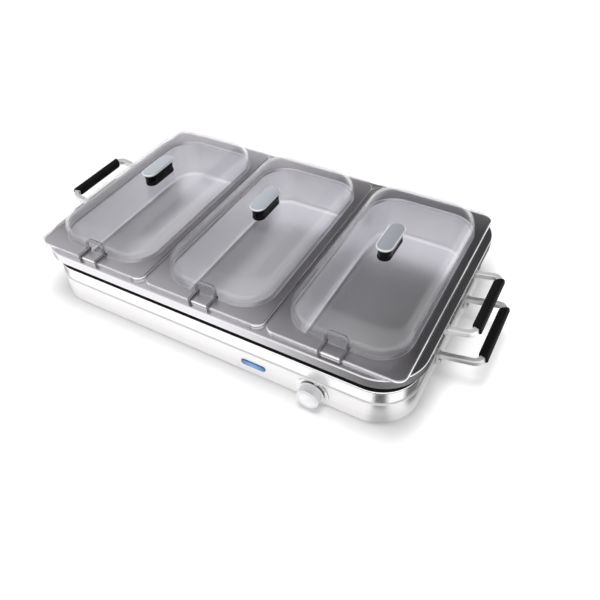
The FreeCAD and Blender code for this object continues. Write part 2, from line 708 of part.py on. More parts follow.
def make_panel_nut():
    """Thin nut that clamps the thermostat's bush and the dial ring to the wall."""
    nut = hexagon(PANEL_NUT_WIDTH, PANEL_NUT_THICK, V(KNOB_X, DIAL_FRONT_Y, KNOB_Z), -Y_AXIS)
    return nut.cut(cylinder(BUSH_D + 2 * RUN_GAP, 3 * PANEL_NUT_THICK,
                            V(KNOB_X, DIAL_FRONT_Y + PANEL_NUT_THICK, KNOB_Z), -Y_AXIS))


def make_dial_ring():
    """Thin disc behind the knob, flat at the belt's lower edge, with one raised index nub."""
    disc = cylinder(DIAL_D, DIAL_THICK, V(KNOB_X, FRONT_Y, KNOB_Z), -Y_AXIS)
    trim = box((KNOB_X - DIAL_D, KNOB_X + DIAL_D), (FRONT_Y - DIAL_D, FRONT_Y + DIAL_D),
               (BELT_Z + BELT_SHEET, BELT_TOP_Z - BELT_SHEET))
    turn = math.radians(DIAL_NUB_ANGLE)
    reach = (DIAL_D + KNOB_SKIRT_D) / 4
    place = V(KNOB_X + reach * math.sin(turn), FRONT_Y, KNOB_Z + reach * math.cos(turn))
    nub = cylinder(DIAL_NUB_D, DIAL_THICK + DIAL_NUB_PROUD, place, -Y_AXIS)
    bore = cylinder(BUSH_D + 2 * RUN_GAP, 4 * DIAL_THICK, V(KNOB_X, FRONT_Y + DIAL_THICK, KNOB_Z), -Y_AXIS)
    return disc.fuse(nub).common(trim).cut(bore).removeSplitter()


def make_indicator_lens():
    """Pill-shaped window: a hollow lens with a flange behind the wall."""
    back = FRONT_Y + WALL_STACK
    lens = lens_block(LENS_LENGTH, LENS_HEIGHT, FRONT_Y - LENS_PROUD, back + LENS_FLANGE)
    front_edges = [edge for edge in lens.Edges
                   if abs(edge.BoundBox.YMax - (FRONT_Y - LENS_PROUD)) < MATCH]
    lens = lens.makeFillet(LENS_PROUD / 2, front_edges)
    flange = lens_block(LENS_LENGTH + 2 * LENS_FLANGE, LENS_HEIGHT + 2 * LENS_FLANGE,
                        back, back + LENS_FLANGE)
    hollow = lens_block(LENS_LENGTH - 2 * LENS_SKIN, LENS_HEIGHT - 2 * LENS_SKIN,
                        FRONT_Y - LENS_PROUD + LENS_SKIN, back + 2 * LENS_FLANGE)
    return lens.fuse(flange).cut(hollow).removeSplitter()


LAMP_Y = FRONT_Y + WALL_STACK + LENS_FLANGE + LAMP_CLIP_SHEET + LAMP_D / 2


def make_neon_lamp():
    """Small glass lamp that lies along X behind the window."""
    return cylinder(LAMP_D, LAMP_LENGTH, V(LENS_X - LAMP_LENGTH / 2, LAMP_Y, LENS_Z), X_AXIS)


def make_lamp_clip():
    """Spring clip round the lamp, on a bracket that stands on the bottom cover."""
    outer = LAMP_D + 2 * LAMP_CLIP_SHEET
    across = span(LENS_X, LAMP_CLIP_WIDTH)
    past = span(LENS_X, 2 * LAMP_CLIP_WIDTH)
    sleeve = cylinder(outer, LAMP_CLIP_WIDTH, V(across[0], LAMP_Y, LENS_Z), X_AXIS)
    post = box(across, span(LAMP_Y, LAMP_CLIP_SHEET), (COVER_TOP_Z, LENS_Z))
    foot = box(across, (LAMP_Y - LAMP_CLIP_SHEET / 2, LAMP_Y + outer),
               (COVER_TOP_Z, COVER_TOP_Z + LAMP_CLIP_SHEET))
    bore = cylinder(LAMP_D + 2 * RUN_GAP, 2 * LAMP_CLIP_WIDTH, V(past[0], LAMP_Y, LENS_Z), X_AXIS)
    slot = box(past, span(LAMP_Y, LAMP_D / 2), (LENS_Z, LENS_Z + outer))
    return join([sleeve, post, foot]).cut(bore).cut(slot)


FUSE_Z = WELL_UNDER_Z - RUN_GAP - FUSE_CLIP_SHEET - FUSE_D / 2


def make_thermal_fuse():
    """Sleeved cut-out link clipped under the well floor, beyond the element's right bend."""
    return cylinder(FUSE_D, FUSE_LENGTH, V(FUSE_X, -FUSE_LENGTH / 2, FUSE_Z), Y_AXIS)


def make_fuse_clip():
    """Spring strip that wraps the fuse and lies against the well floor."""
    along = span(0.0, FUSE_CLIP_WIDTH)
    outer = FUSE_D + 2 * RUN_GAP + 2 * FUSE_CLIP_SHEET
    sleeve = cylinder(outer, FUSE_CLIP_WIDTH, V(FUSE_X, along[0], FUSE_Z), Y_AXIS)
    strip = box(span(FUSE_X, 4 * FUSE_D), along, (WELL_UNDER_Z - FUSE_CLIP_SHEET, WELL_UNDER_Z))
    bore = cylinder(FUSE_D + 2 * RUN_GAP, 2 * FUSE_CLIP_WIDTH, V(FUSE_X, 2 * along[0], FUSE_Z), Y_AXIS)
    below = box(span(FUSE_X, 6 * FUSE_D), along, (0, WELL_UNDER_Z))
    return sleeve.fuse(strip).cut(bore).common(below).removeSplitter()


GROMMET_Z = KNOB_Z
BLOCK_BACK_Y = BACK_Y - WALL_STACK - BLOCK_DEPTH


def block_pole_places():
    """X places of the terminal block's poles."""
    step = BLOCK_WIDTH / BLOCK_POLES
    return [BLOCK_X + (index - (BLOCK_POLES - 1) / 2) * step for index in range(BLOCK_POLES)]


def make_terminal_block():
    """Ceramic block on the bottom cover, with one bore and one screw hole for each pole."""
    top = COVER_TOP_Z + BLOCK_HEIGHT
    block = box(span(BLOCK_X, BLOCK_WIDTH), span(BLOCK_BACK_Y, BLOCK_DEPTH), (COVER_TOP_Z, top))
    for x in block_pole_places():
        bore = cylinder(LEAD_D + 4 * RUN_GAP, 2 * BLOCK_DEPTH,
                        V(x, BLOCK_BACK_Y - BLOCK_DEPTH, BLOCK_LEAD_Z), Y_AXIS)
        thread = cylinder(BLOCK_SCREW_D + 2 * RUN_GAP, 2 * BLOCK_SCREW_LENGTH,
                          V(x, BLOCK_BACK_Y, top - BLOCK_SCREW_LENGTH))
        block = block.cut(bore).cut(thread)
    return block


BLOCK_LEAD_Z = COVER_TOP_Z + BLOCK_HEIGHT - BLOCK_SCREW_LENGTH - LEAD_D / 2 - RUN_GAP


def make_terminal_screws():
    """Brass screws of the terminal block, one for each pole."""
    top = COVER_TOP_Z + BLOCK_HEIGHT
    return [cylinder(BLOCK_SCREW_D, BLOCK_SCREW_LENGTH, V(x, BLOCK_BACK_Y, top - BLOCK_SCREW_LENGTH))
            for x in block_pole_places()]


def inlet_screw_places():
    """X places of the two screws that hold the inlet plate; the second one also holds the earth lead."""
    return [GROMMET_X - INLET_SCREW_SPACING, EARTH_X]


def make_inlet_plate():
    """Plate over the square inlet hole in the back walls; it carries the grommet."""
    width = 2 * (INLET_SCREW_SPACING + INLET_PLATE_MARGIN)
    outer_y = BACK_Y + INLET_PLATE_THICK
    plate = box(span(GROMMET_X, width), (BACK_Y, outer_y), span(GROMMET_Z, INLET_PLATE_HEIGHT))
    plate = plate.makeFillet(INLET_PLATE_R, [edge for edge in plate.Edges
                                             if edge.BoundBox.YLength > INLET_PLATE_THICK / 2])
    plate = plate.cut(cylinder(GROMMET_D + 2 * RUN_GAP, 2 * INLET_PLATE_THICK,
                               V(GROMMET_X, outer_y, GROMMET_Z), -Y_AXIS))
    for x in inlet_screw_places():
        plate = plate.cut(cylinder(INLET_SCREW_D + 2 * RUN_GAP, 2 * INLET_PLATE_THICK,
                                   V(x, outer_y, GROMMET_Z), -Y_AXIS))
    return plate


def make_cord_grommet():
    """Bush in the inlet plate where the mains cord comes in."""
    low = V(GROMMET_X, BACK_Y - GROMMET_FLANGE, GROMMET_Z)
    length = INLET_PLATE_THICK + 2 * GROMMET_FLANGE
    sleeve = cylinder(GROMMET_D, length, low, Y_AXIS)
    inner = cylinder(GROMMET_FLANGE_D, GROMMET_FLANGE, low, Y_AXIS)
    outer = cylinder(GROMMET_FLANGE_D, GROMMET_FLANGE, V(GROMMET_X, BACK_Y + INLET_PLATE_THICK, GROMMET_Z),
                     Y_AXIS)
    bore = cylinder(GROMMET_BORE_D, 2 * length, low - Y_AXIS * GROMMET_FLANGE, Y_AXIS)
    return join([sleeve, outer, inner]).cut(bore)


def make_inlet_screws():
    """Screws through the inlet plate and both back walls."""
    length = INLET_PLATE_THICK + WALL_STACK + 2 * INLET_HEAD
    return [screw(INLET_SCREW_D, length, INLET_HEAD_D, INLET_HEAD,
                  V(x, BACK_Y + INLET_PLATE_THICK, GROMMET_Z), -Y_AXIS) for x in inlet_screw_places()]


LEAD_Z = COVER_TOP_Z + 2 * LEAD_D
BLOCK_FRONT_Y = BLOCK_BACK_Y - BLOCK_DEPTH / 2
TAB_END_Y = THERMOSTAT_FRONT_Y + THERMOSTAT_DEPTH + THERMOSTAT_TAB_LENGTH + RUN_GAP
PIN_END_X = ELEMENT_HALF_LENGTH + ELEMENT_TAIL + TERMINAL_LENGTH + RUN_GAP


def make_live_leads():
    """Live side: terminal block to fuse, fuse to thermostat, thermostat to the element's front pin."""
    x = block_pole_places()[1]
    run_y = BLOCK_FRONT_Y - LEAD_BEND_R - LEAD_SPACING
    fuse_y = FUSE_LENGTH / 2 + RUN_GAP
    to_fuse = [V(x, BLOCK_BACK_Y - BLOCK_DEPTH / 4, BLOCK_LEAD_Z), V(x, run_y, LEAD_Z),
               V(FUSE_X, run_y, LEAD_Z), V(FUSE_X, fuse_y + LEAD_SLOPE, LEAD_Z),
               V(FUSE_X, fuse_y + LEAD_REACH, FUSE_Z), V(FUSE_X, fuse_y, FUSE_Z)]
    front_y = TAB_END_Y + 2 * LEAD_BEND_R
    left_tab, right_tab = thermostat_tab_places()
    to_switch = [V(FUSE_X, -fuse_y, FUSE_Z), V(FUSE_X, -fuse_y - LEAD_REACH, FUSE_Z),
                 V(FUSE_X, -fuse_y - LEAD_SLOPE, LEAD_Z), V(FUSE_X, front_y, LEAD_Z),
                 V(right_tab, front_y, LEAD_Z), V(right_tab, TAB_END_Y + LEAD_REACH, KNOB_Z),
                 V(right_tab, TAB_END_Y, KNOB_Z)]
    pin_y = element_runs()[0]
    far_x = FUSE_X + LEAD_SPACING
    level_y = TAB_END_Y + LEAD_BEND_R + 2 * LEAD_REACH
    to_element = [V(left_tab, TAB_END_Y, KNOB_Z), V(left_tab, TAB_END_Y + LEAD_REACH, KNOB_Z),
                  V(left_tab, level_y, ELEMENT_Z), V(far_x, level_y, ELEMENT_Z), V(far_x, pin_y, ELEMENT_Z),
                  V(PIN_END_X, pin_y, ELEMENT_Z)]
    return [tube_along(points, LEAD_D, LEAD_BEND_R) for points in (to_fuse, to_switch, to_element)]


def make_neutral_lead():
    """Neutral side: the element's back pin to the terminal block's left pole."""
    x = block_pole_places()[0]
    pin_y = element_runs()[-1]
    far_x = FUSE_X + LEAD_SPACING
    run_y = pin_y + 2 * LEAD_BEND_R + LEAD_D
    points = [V(PIN_END_X, pin_y, ELEMENT_Z), V(far_x, pin_y, ELEMENT_Z), V(far_x, run_y, ELEMENT_Z),
              V(x, run_y, ELEMENT_Z), V(x, BLOCK_FRONT_Y - LEAD_BEND_R, BLOCK_LEAD_Z),
              V(x, BLOCK_BACK_Y - BLOCK_DEPTH / 4, BLOCK_LEAD_Z)]
    return tube_along(points, LEAD_D, LEAD_BEND_R)


def make_earth_lead():
    """Earth: the terminal block's right pole to the right screw of the inlet plate."""
    x = block_pole_places()[2]
    run_y = BLOCK_FRONT_Y - LEAD_BEND_R
    end_y = BACK_Y - WALL_STACK - 2 * INLET_HEAD - RUN_GAP
    points = [V(x, BLOCK_BACK_Y - BLOCK_DEPTH / 4, BLOCK_LEAD_Z), V(x, run_y, BLOCK_LEAD_Z),
              V(EARTH_X, run_y, BLOCK_LEAD_Z), V(EARTH_X, end_y - LEAD_REACH, GROMMET_Z),
              V(EARTH_X, end_y, GROMMET_Z)]
    return tube_along(points, LEAD_D, LEAD_BEND_R)


# ---------------------------------------------------------------- control knob
def make_thermostat_shaft():
    """D-shaped shaft that turns with the knob."""
    shaft = cylinder(SHAFT_D, SHAFT_LENGTH, V(KNOB_X, SHAFT_BACK_Y, KNOB_Z), -Y_AXIS)
    flat = box((KNOB_X - SHAFT_D, KNOB_X + SHAFT_D), (SHAFT_FRONT_Y, BUSH_FRONT_Y),
               (KNOB_Z + SHAFT_D / 2 - SHAFT_FLAT, KNOB_Z + SHAFT_D))
    return shaft.cut(flat)


BUSH_FRONT_Y = THERMOSTAT_FRONT_Y - WALL_STACK - RUN_GAP - BUSH_PROUD


def make_control_knob():
    """Round knob with a wider skirt, a bevelled face, an index groove, a D bore and room for the nut."""
    back = V(KNOB_X, KNOB_BACK_Y, KNOB_Z)
    body = cylinder(KNOB_D, KNOB_LENGTH, back, -Y_AXIS)
    body = body.makeChamfer(KNOB_BEVEL, [edge for edge in body.Edges
                                         if abs(edge.BoundBox.YMax - KNOB_FACE_Y) < MATCH])
    skirt = cylinder(KNOB_SKIRT_D, KNOB_SKIRT, back, -Y_AXIS)
    seat = cylinder(KNOB_CAP_D, KNOB_CAP_THICK, V(KNOB_X, KNOB_FACE_Y + KNOB_CAP_THICK, KNOB_Z), -Y_AXIS)
    mark = box(span(KNOB_X, KNOB_MARK_WIDTH), (KNOB_FACE_Y, KNOB_BACK_Y - KNOB_SKIRT),
               (KNOB_Z + KNOB_D / 2 - KNOB_MARK_DEPTH, KNOB_Z + KNOB_D / 2))
    room_depth = KNOB_BACK_Y - NUT_FRONT_Y + BUSH_PROUD
    room = cylinder(PANEL_NUT_WIDTH + 2 * KNOB_NUT_ROOM, room_depth, back, -Y_AXIS)
    bore = cylinder(SHAFT_D + 2 * RUN_GAP, KNOB_BACK_Y - SHAFT_FRONT_Y + RUN_GAP, back, -Y_AXIS)
    key = box((KNOB_X - SHAFT_D, KNOB_X + SHAFT_D), (SHAFT_FRONT_Y - RUN_GAP, KNOB_BACK_Y - room_depth),
              (KNOB_Z + SHAFT_D / 2 - SHAFT_FLAT + RUN_GAP, KNOB_Z + SHAFT_D))
    return body.fuse(skirt).cut(mark).cut(seat).cut(room).cut(bore.cut(key)).removeSplitter()


def make_knob_cap():
    """Thin metal disc let into the knob's face."""
    return cylinder(KNOB_CAP_D - 2 * RUN_GAP, KNOB_CAP_THICK, V(KNOB_X, KNOB_FACE_Y + KNOB_CAP_THICK, KNOB_Z),
                    -Y_AXIS)


# ---------------------------------------------------------------- side handles
def tilt(solid, x, z):
    """Turn a piece up about the line where its handle is rooted."""
    turned = solid.copy()
    turned.rotate(V(x, 0, z), -Y_AXIS, BAR_TILT)
    return turned


def bar_blank(root_x, z, reach, grow):
    """The U of a handle bar with sharp edges, each face moved out by grow."""
    half = BAR_SIZE / 2 + grow
    spread = BAR_SPREAD / 2
    outer = rounded_prism((reach + half, spread + half), BAR_BEND_R + half, z - half, z + half, root_x, 0)
    inner = rounded_prism((reach - half, spread - half), BAR_BEND_R - half, z - half, z + half, root_x, 0)
    keep = box((root_x, root_x + 2 * reach), (-BAR_SPREAD, BAR_SPREAD), (z - BAR_SIZE, z + BAR_SIZE))
    return outer.cut(inner).common(keep)


def flat_bar(root_x, z, reach):
    """A square bar bent to a U that lies flat, open towards the base."""
    bar = bar_blank(root_x, z, reach, 0.0)
    return bar.makeFillet(BAR_EDGE_R, [edge for edge in bar.Edges if edge.BoundBox.XMax > root_x + MATCH])


def flat_grip(root_x, z, reach):
    """A sleeve round the bar's straight run, its ends cut so that the outer side is longer."""
    centre_x = root_x + reach
    half = GRIP_LENGTH / 2
    sleeve = box((centre_x - GRIP_WIDTH / 2, centre_x + GRIP_WIDTH / 2), (-half, half),
                 (z - GRIP_HEIGHT / 2, z + GRIP_HEIGHT / 2))
    along = [edge for edge in sleeve.Edges if edge.BoundBox.YMax - edge.BoundBox.YMin > half]
    sleeve = sleeve.makeFillet(GRIP_EDGE_R, along).cut(bar_blank(root_x, z, reach, RUN_GAP))
    for end in (-1, 1):
        near = half - GRIP_SLANT * 3 / 2
        far = near + 2 * GRIP_SLANT
        corners = [V(centre_x - GRIP_WIDTH, end * near, z - GRIP_HEIGHT),
                   V(centre_x + GRIP_WIDTH, end * far, z - GRIP_HEIGHT),
                   V(centre_x + GRIP_WIDTH, end * GRIP_LENGTH, z - GRIP_HEIGHT),
                   V(centre_x - GRIP_WIDTH, end * GRIP_LENGTH, z - GRIP_HEIGHT)]
        wedge = Part.Face(Part.makePolygon(corners + corners[:1])).extrude(Z_AXIS * 2 * GRIP_HEIGHT)
        sleeve = sleeve.cut(wedge)
    return sleeve


FRAME_BAR_X = FRAME_HALF[0]
FRAME_BAR_Z = SKIRT_Z + FRAME_BAR_FLANGE / 2
BASE_BAR_X = BELT_HALF[0]


def make_frame_bar():
    """Right bar of the carrier frame: its ends stand on small flanges on the skirt."""
    bar = tilt(flat_bar(FRAME_BAR_X - BAR_SIZE / 2, FRAME_BAR_Z, FRAME_BAR_REACH + BAR_SIZE / 2),
               FRAME_BAR_X, FRAME_BAR_Z)
    bar = bar.cut(box((0, FRAME_BAR_X), (-BAR_SPREAD, BAR_SPREAD), (0, 2 * FRAME_BAR_Z)))
    pads = []
    for end in (-1, 1):
        y = end * BAR_SPREAD / 2
        half = FRAME_BAR_FLANGE / 2
        pads.append(box((FRAME_BAR_X, FRAME_BAR_X + FRAME_BAR_FLANGE_THICK), (y - half, y + half),
                        (FRAME_BAR_Z - half, FRAME_BAR_Z + half)))
    bar = join([bar] + pads)
    for end in (-1, 1):
        bar = bar.cut(cylinder(HANDLE_SCREW_D, FRAME_SCREW_DEPTH,
                               V(FRAME_BAR_X, end * BAR_SPREAD / 2, FRAME_BAR_Z), X_AXIS))
    return bar


def make_frame_grip():
    """Right grip of the carrier frame."""
    return tilt(flat_grip(FRAME_BAR_X, FRAME_BAR_Z, FRAME_BAR_REACH), FRAME_BAR_X, FRAME_BAR_Z)


def make_frame_screws():
    """Screws from inside the skirt into the bar ends of both frame handles."""
    screws = []
    seat_x = FRAME_BAR_X - FRAME_SHEET
    for side in (-1, 1):
        for end in (-1, 1):
            screws.append(screw(HANDLE_SCREW_D - 2 * RUN_GAP, FRAME_SHEET + FRAME_SCREW_DEPTH - RUN_GAP,
                                HANDLE_SCREW_HEAD_D, HANDLE_SCREW_HEAD,
                                V(side * seat_x, end * BAR_SPREAD / 2, FRAME_BAR_Z), X_AXIS * side))
    return screws


def base_screw_seats():
    """Outer face centres of the base handles' tabs, and the way their screws run."""
    seats = []
    z = BASE_BAR_ROOT_Z - TAB_HOLE_DROP
    for side in (-1, 1):
        for end in (-1, 1):
            seats.append((V(side * (BASE_BAR_X + TAB_THICK), end * BAR_SPREAD / 2, z), X_AXIS * -side))
    return seats


def make_base_bar():
    """Right bar of the base: its ends turn down into tabs on the belt."""
    bar = tilt(flat_bar(BASE_BAR_X - BAR_SIZE / 2, BASE_BAR_ROOT_Z, BASE_BAR_REACH + BAR_SIZE / 2),
               BASE_BAR_X, BASE_BAR_ROOT_Z)
    bar = bar.cut(box((0, BASE_BAR_X), (-BAR_SPREAD, BAR_SPREAD), (0, 2 * FRAME_BAR_Z)))
    top = BASE_BAR_ROOT_Z + BAR_SIZE / 2
    tabs = []
    for end in (-1, 1):
        y = end * BAR_SPREAD / 2
        tab = box((BASE_BAR_X, BASE_BAR_X + TAB_THICK), (y - TAB_WIDTH / 2, y + TAB_WIDTH / 2),
                  (top - TAB_LENGTH, top))
        low_corners = [edge for edge in tab.Edges if abs(edge.BoundBox.ZMax - (top - TAB_LENGTH)) < MATCH
                       and edge.BoundBox.XMax - edge.BoundBox.XMin > TAB_THICK / 2]
        tabs.append(tab.makeFillet(TAB_WIDTH / 2 - BAR_EDGE_R, low_corners))
    bar = join([bar] + tabs)
    for seat, direction in base_screw_seats():
        bar = bar.cut(cylinder(HANDLE_SCREW_D + 2 * RUN_GAP, 2 * TAB_THICK, seat - direction * TAB_THICK / 2,
                               direction))
    return bar


def make_base_grip():
    """Right grip of the base."""
    return tilt(flat_grip(BASE_BAR_X, BASE_BAR_ROOT_Z, BASE_BAR_REACH), BASE_BAR_X, BASE_BAR_ROOT_Z)


def make_base_screws():
    """Screws through the tabs and both walls of the base."""
    length = TAB_THICK + WALL_STACK + NUT_THICK + BAR_EDGE_R
    return [screw(HANDLE_SCREW_D, length, HANDLE_SCREW_HEAD_D, HANDLE_SCREW_HEAD, seat, direction)
            for seat, direction in base_screw_seats()]


def make_base_nuts():
    """Nuts inside the base on the handle screws."""
    nuts = []
    for seat, direction in base_screw_seats():
        place = seat + direction * (TAB_THICK + WALL_STACK)
        nut = hexagon(NUT_WIDTH, NUT_THICK, place, direction)
        nuts.append(nut.cut(cylinder(HANDLE_SCREW_D, 3 * NUT_THICK, place - direction * NUT_THICK,
                                     direction)))
    return nuts


# ---------------------------------------------------------------- carrier frame and pans
def make_carrier_frame():
    """Flat rim with three openings, and a skirt turned down all round."""
    outer = rounded_prism(FRAME_HALF, FRAME_CORNER_R, SKIRT_Z, FRAME_TOP_Z)
    outer = outer.makeFillet(FRAME_EDGE_R, rim_edges(outer, FRAME_TOP_Z, FRAME_HALF))
    frame = outer.cut(rounded_prism(inset(FRAME_HALF, FRAME_SHEET), FRAME_CORNER_R - FRAME_SHEET,
                                    SKIRT_Z, FRAME_UNDER_Z))
    hole_half = inset(MOUTH_HALF, -FRAME_HOLE_CLEARANCE)
    hole_radius = PAN_MOUTH_R + FRAME_HOLE_CLEARANCE
    for name in PAN_NAMES:
        frame = frame.cut(rounded_prism(hole_half, hole_radius, FRAME_UNDER_Z - FRAME_SHEET,
                                        FRAME_TOP_Z + FRAME_SHEET, PAN_X[name]))
    for side in (-1, 1):
        start_x = side * (FRAME_HALF[0] + FRAME_SHEET)
        for end in (-1, 1):
            place = V(start_x, end * BAR_SPREAD / 2, FRAME_BAR_Z)
            frame = frame.cut(cylinder(HANDLE_SCREW_D, 3 * FRAME_SHEET, place, X_AXIS * -side))
    return frame


def pan_bowl(shrink, low, x):
    """The pan's tapered bowl as a solid, each face moved in by shrink."""
    mouth = rounded_wire(*inset(MOUTH_HALF, shrink), PAN_MOUTH_R - shrink, PAN_TOP_Z, x)
    floor = rounded_wire(*inset(MOUTH_HALF, PAN_TAPER + shrink), PAN_MOUTH_R - PAN_TAPER - shrink, low, x)
    bowl = Part.makeLoft([mouth, floor], True, True)
    return bowl.makeFillet(PAN_FLOOR_R - shrink, edges_at_height(bowl, low))


def make_pan(x):
    """A drawn pan: tapered walls, flat rim and a lip turned down round the rim."""
    lip_z = PAN_TOP_Z - PAN_LIP
    rim = rounded_prism(PAN_HALF, PAN_CORNER_R, lip_z, PAN_TOP_Z, x)
    rim = rim.makeFillet(PAN_SHEET, edges_at_height(rim, PAN_TOP_Z))
    under = rounded_prism(inset(PAN_HALF, PAN_SHEET), PAN_CORNER_R - PAN_SHEET,
                          lip_z, PAN_TOP_Z - PAN_SHEET, x)
    bowl = pan_bowl(0.0, PAN_BOTTOM_Z, x)
    inside = pan_bowl(PAN_SHEET, PAN_BOTTOM_Z + PAN_SHEET, x)
    return rim.cut(under).fuse(bowl).cut(inside).removeSplitter()


# ---------------------------------------------------------------- lids
def lid_dome(grow, low, top):
    """The lid's raised part as a solid, its wall moved out by grow, with a round shoulder."""
    half = inset(MOUTH_HALF, -grow)
    dome = rounded_prism(half, PAN_MOUTH_R + grow, low, top)
    return dome.makeFillet(LID_SHOULDER_R + grow, edges_at_height(dome, top))


def notch_block(grow):
    """The spoon notch as a block with round upper corners, through the lid's front wall."""
    half = NOTCH_WIDTH / 2 + grow
    top = LID_Z + NOTCH_RISE + grow
    front = -PAN_HALF[1] - LID_RISE
    back = -MOUTH_HALF[1] + LID_SHOULDER_R
    low = LID_Z - LID_RISE
    block = box((-half, half), (front, back), (low, top))
    upper = [edge for edge in block.Edges if abs(edge.BoundBox.ZMin - top) < MATCH
             and edge.BoundBox.YMax - edge.BoundBox.YMin > LID_RISE]
    return block.makeFillet(NOTCH_CORNER_R + grow, upper)


def lid_plug():
    """Ring below the lid's flange that keeps the lid in the pan's mouth."""
    radius = PAN_MOUTH_R - LID_PLUG_CLEARANCE
    outer = rounded_prism(inset(MOUTH_HALF, LID_PLUG_CLEARANCE), radius, LID_Z - LID_PLUG, LID_Z + LID_WALL)
    inner = rounded_prism(inset(MOUTH_HALF, LID_PLUG_CLEARANCE + LID_PLUG_WALL), radius - LID_PLUG_WALL,
                          LID_Z - LID_PLUG, LID_Z + LID_WALL)
    return outer.cut(inner)


def make_lid():
    """Clear lid on the middle pan: flange, front and back skirts, dome, plug ring and notch bead."""
    flange_half = (PAN_HALF[0] - LID_EDGE_CLEARANCE, PAN_HALF[1] + SEAT_GAP + LID_SKIRT_WALL)
    flange = rounded_prism(flange_half, PAN_CORNER_R, LID_Z, LID_Z + LID_WALL)
    flange = flange.makeFillet(LID_WALL / 2, edges_at_height(flange, LID_Z + LID_WALL))
    skirts = rounded_prism(flange_half, PAN_CORNER_R, LID_SKIRT_Z, LID_Z + LID_WALL / 2)
    keep_y = PAN_HALF[1] + SEAT_GAP
    reach_x = flange_half[0] - PAN_CORNER_R
    skirts = skirts.cut(box((-PAN_WIDTH, PAN_WIDTH), (-keep_y, keep_y), (0, 2 * LID_Z)))
    skirts = skirts.common(box((-reach_x, reach_x), (-PAN_LENGTH, PAN_LENGTH), (0, 2 * LID_Z)))
    dome = lid_dome(0.0, LID_Z, LID_TOP_Z)
    hollow = lid_dome(-LID_WALL, LID_Z, LID_TOP_Z - LID_WALL)
    plug = lid_plug()
    notch = notch_block(0.0)
    swollen = lid_dome(NOTCH_BEAD_PROUD, LID_Z, LID_TOP_Z + NOTCH_BEAD_PROUD)
    raised = rounded_prism((flange_half[0], flange_half[1]), PAN_CORNER_R, LID_Z,
                           LID_Z + LID_WALL + NOTCH_BEAD_PROUD)
    bead = swollen.fuse(raised).common(notch_block(NOTCH_BEAD))
    solid = join([flange, dome, bead]).cut(hollow)
    solid = join([solid, plug] + list(skirts.Solids)).cut(notch)
    return solid.cut(cylinder(LID_SCREW_D + 2 * RUN_GAP, 4 * LID_WALL, V(0, 0, LID_TOP_Z - 2 * LID_WALL)))


def make_lid_pillar():
    """Glossy pillar of the lid handle: an upright slot shape with a waist and a wider foot."""
    low = LID_TOP_Z
    high = LID_TOP_Z + KNOB_PILLAR_HEIGHT
    foot = stadium(KNOB_PILLAR_WIDTH, KNOB_PILLAR_LENGTH, low, low + KNOB_PILLAR_FOOT)
    waist_width = KNOB_PILLAR_WIDTH - 2 * KNOB_PILLAR_WAIST
    waist = stadium(waist_width, KNOB_PILLAR_LENGTH - 2 * KNOB_PILLAR_WAIST, low, high)
    pillar = join([foot, waist])
    return pillar.cut(cylinder(LID_SCREW_D, LID_SCREW_LENGTH - LID_WALL - LID_WASHER_THICK, V(0, 0, low)))


def make_lid_cap():
    """Silver cap on the pillar, with a bright chamfer round its top."""
    low = LID_TOP_Z + KNOB_PILLAR_HEIGHT
    cap = stadium(LID_CAP_WIDTH, LID_CAP_LENGTH, low, low + LID_CAP_THICK)
    return cap.makeChamfer(LID_CAP_CHAMFER, edges_at_height(cap, low + LID_CAP_THICK))


def make_lid_screw():
    """Screw from inside the lid into the pillar, with its washer."""
    seat = V(0, 0, LID_TOP_Z - LID_WALL)
    washer = cylinder(LID_WASHER_D, LID_WASHER_THICK, seat - Z_AXIS * LID_WASHER_THICK)
    washer = washer.cut(cylinder(LID_SCREW_D + 2 * RUN_GAP, 3 * LID_WASHER_THICK,
                                 seat - Z_AXIS * 2 * LID_WASHER_THICK))
    bolt = screw(LID_SCREW_D, LID_SCREW_LENGTH - RUN_GAP, LID_SCREW_HEAD_D, LID_SCREW_HEAD,
                 seat - Z_AXIS * LID_WASHER_THICK, Z_AXIS)
    return [washer, bolt]


# ---------------------------------------------------------------- build
def save_base():
    """Shells, feet and seat ring of the base."""
    holes = wall_holes()
    save("lower_belt", make_lower_belt(holes))
    save("upper_shell", make_upper_shell(holes))
    save("well_pan", make_well_pan())
    save("bottom_cover", make_bottom_cover())
    save("rubber_feet", make_feet())
    save("foot_screws", make_foot_screws())
    save("cover_screws", make_cover_screws())
    save("seat_ring", make_seat_ring())


def save_heating():
    """Plate, element, thermostat, lamp and wiring."""
    save("warming_plate", make_warming_plate())
    save("heating_element", make_heating_element())
    save("element_clamps", make_element_clamps())
    save("clamp_screws", make_clamp_screws())
    save("insulation_mat", make_insulation_mat())
    save("heat_reflector", make_heat_reflector())
    save("thermostat_body", make_thermostat_body())
    save("panel_nut", make_panel_nut())
    save("dial_ring", make_dial_ring())
    save("indicator_lens", make_indicator_lens())
    save("neon_lamp", make_neon_lamp())
    save("lamp_clip", make_lamp_clip())
    save("thermal_fuse", make_thermal_fuse())
    save("fuse_clip", make_fuse_clip())
    save("terminal_block", make_terminal_block())
    save("terminal_screws", make_terminal_screws())
    save("live_leads", make_live_leads())
    save("neutral_lead", make_neutral_lead())
    save("earth_lead", make_earth_lead())
    save("inlet_plate", make_inlet_plate())
    save("inlet_screws", make_inlet_screws())
    save("cord_grommet", make_cord_grommet())


def save_knob():
    """The pieces that turn with the control knob."""
    save("thermostat_shaft", make_thermostat_shaft())
    save("control_knob", make_control_knob())
    save("knob_cap", make_knob_cap())


def save_handles():
    """Side handles of the frame and the base, left and right."""
    for name, piece in (("frame_bar", make_frame_bar()), ("frame_grip", make_frame_grip()),
                        ("base_bar", make_base_bar()), ("base_grip", make_base_grip())):
        save(name + "_right", piece)
        save(name + "_left", mirrored(piece))
    save("frame_handle_screws", make_frame_screws())
    save("base_handle_screws", make_base_screws())
    save("base_handle_nuts", make_base_nuts())


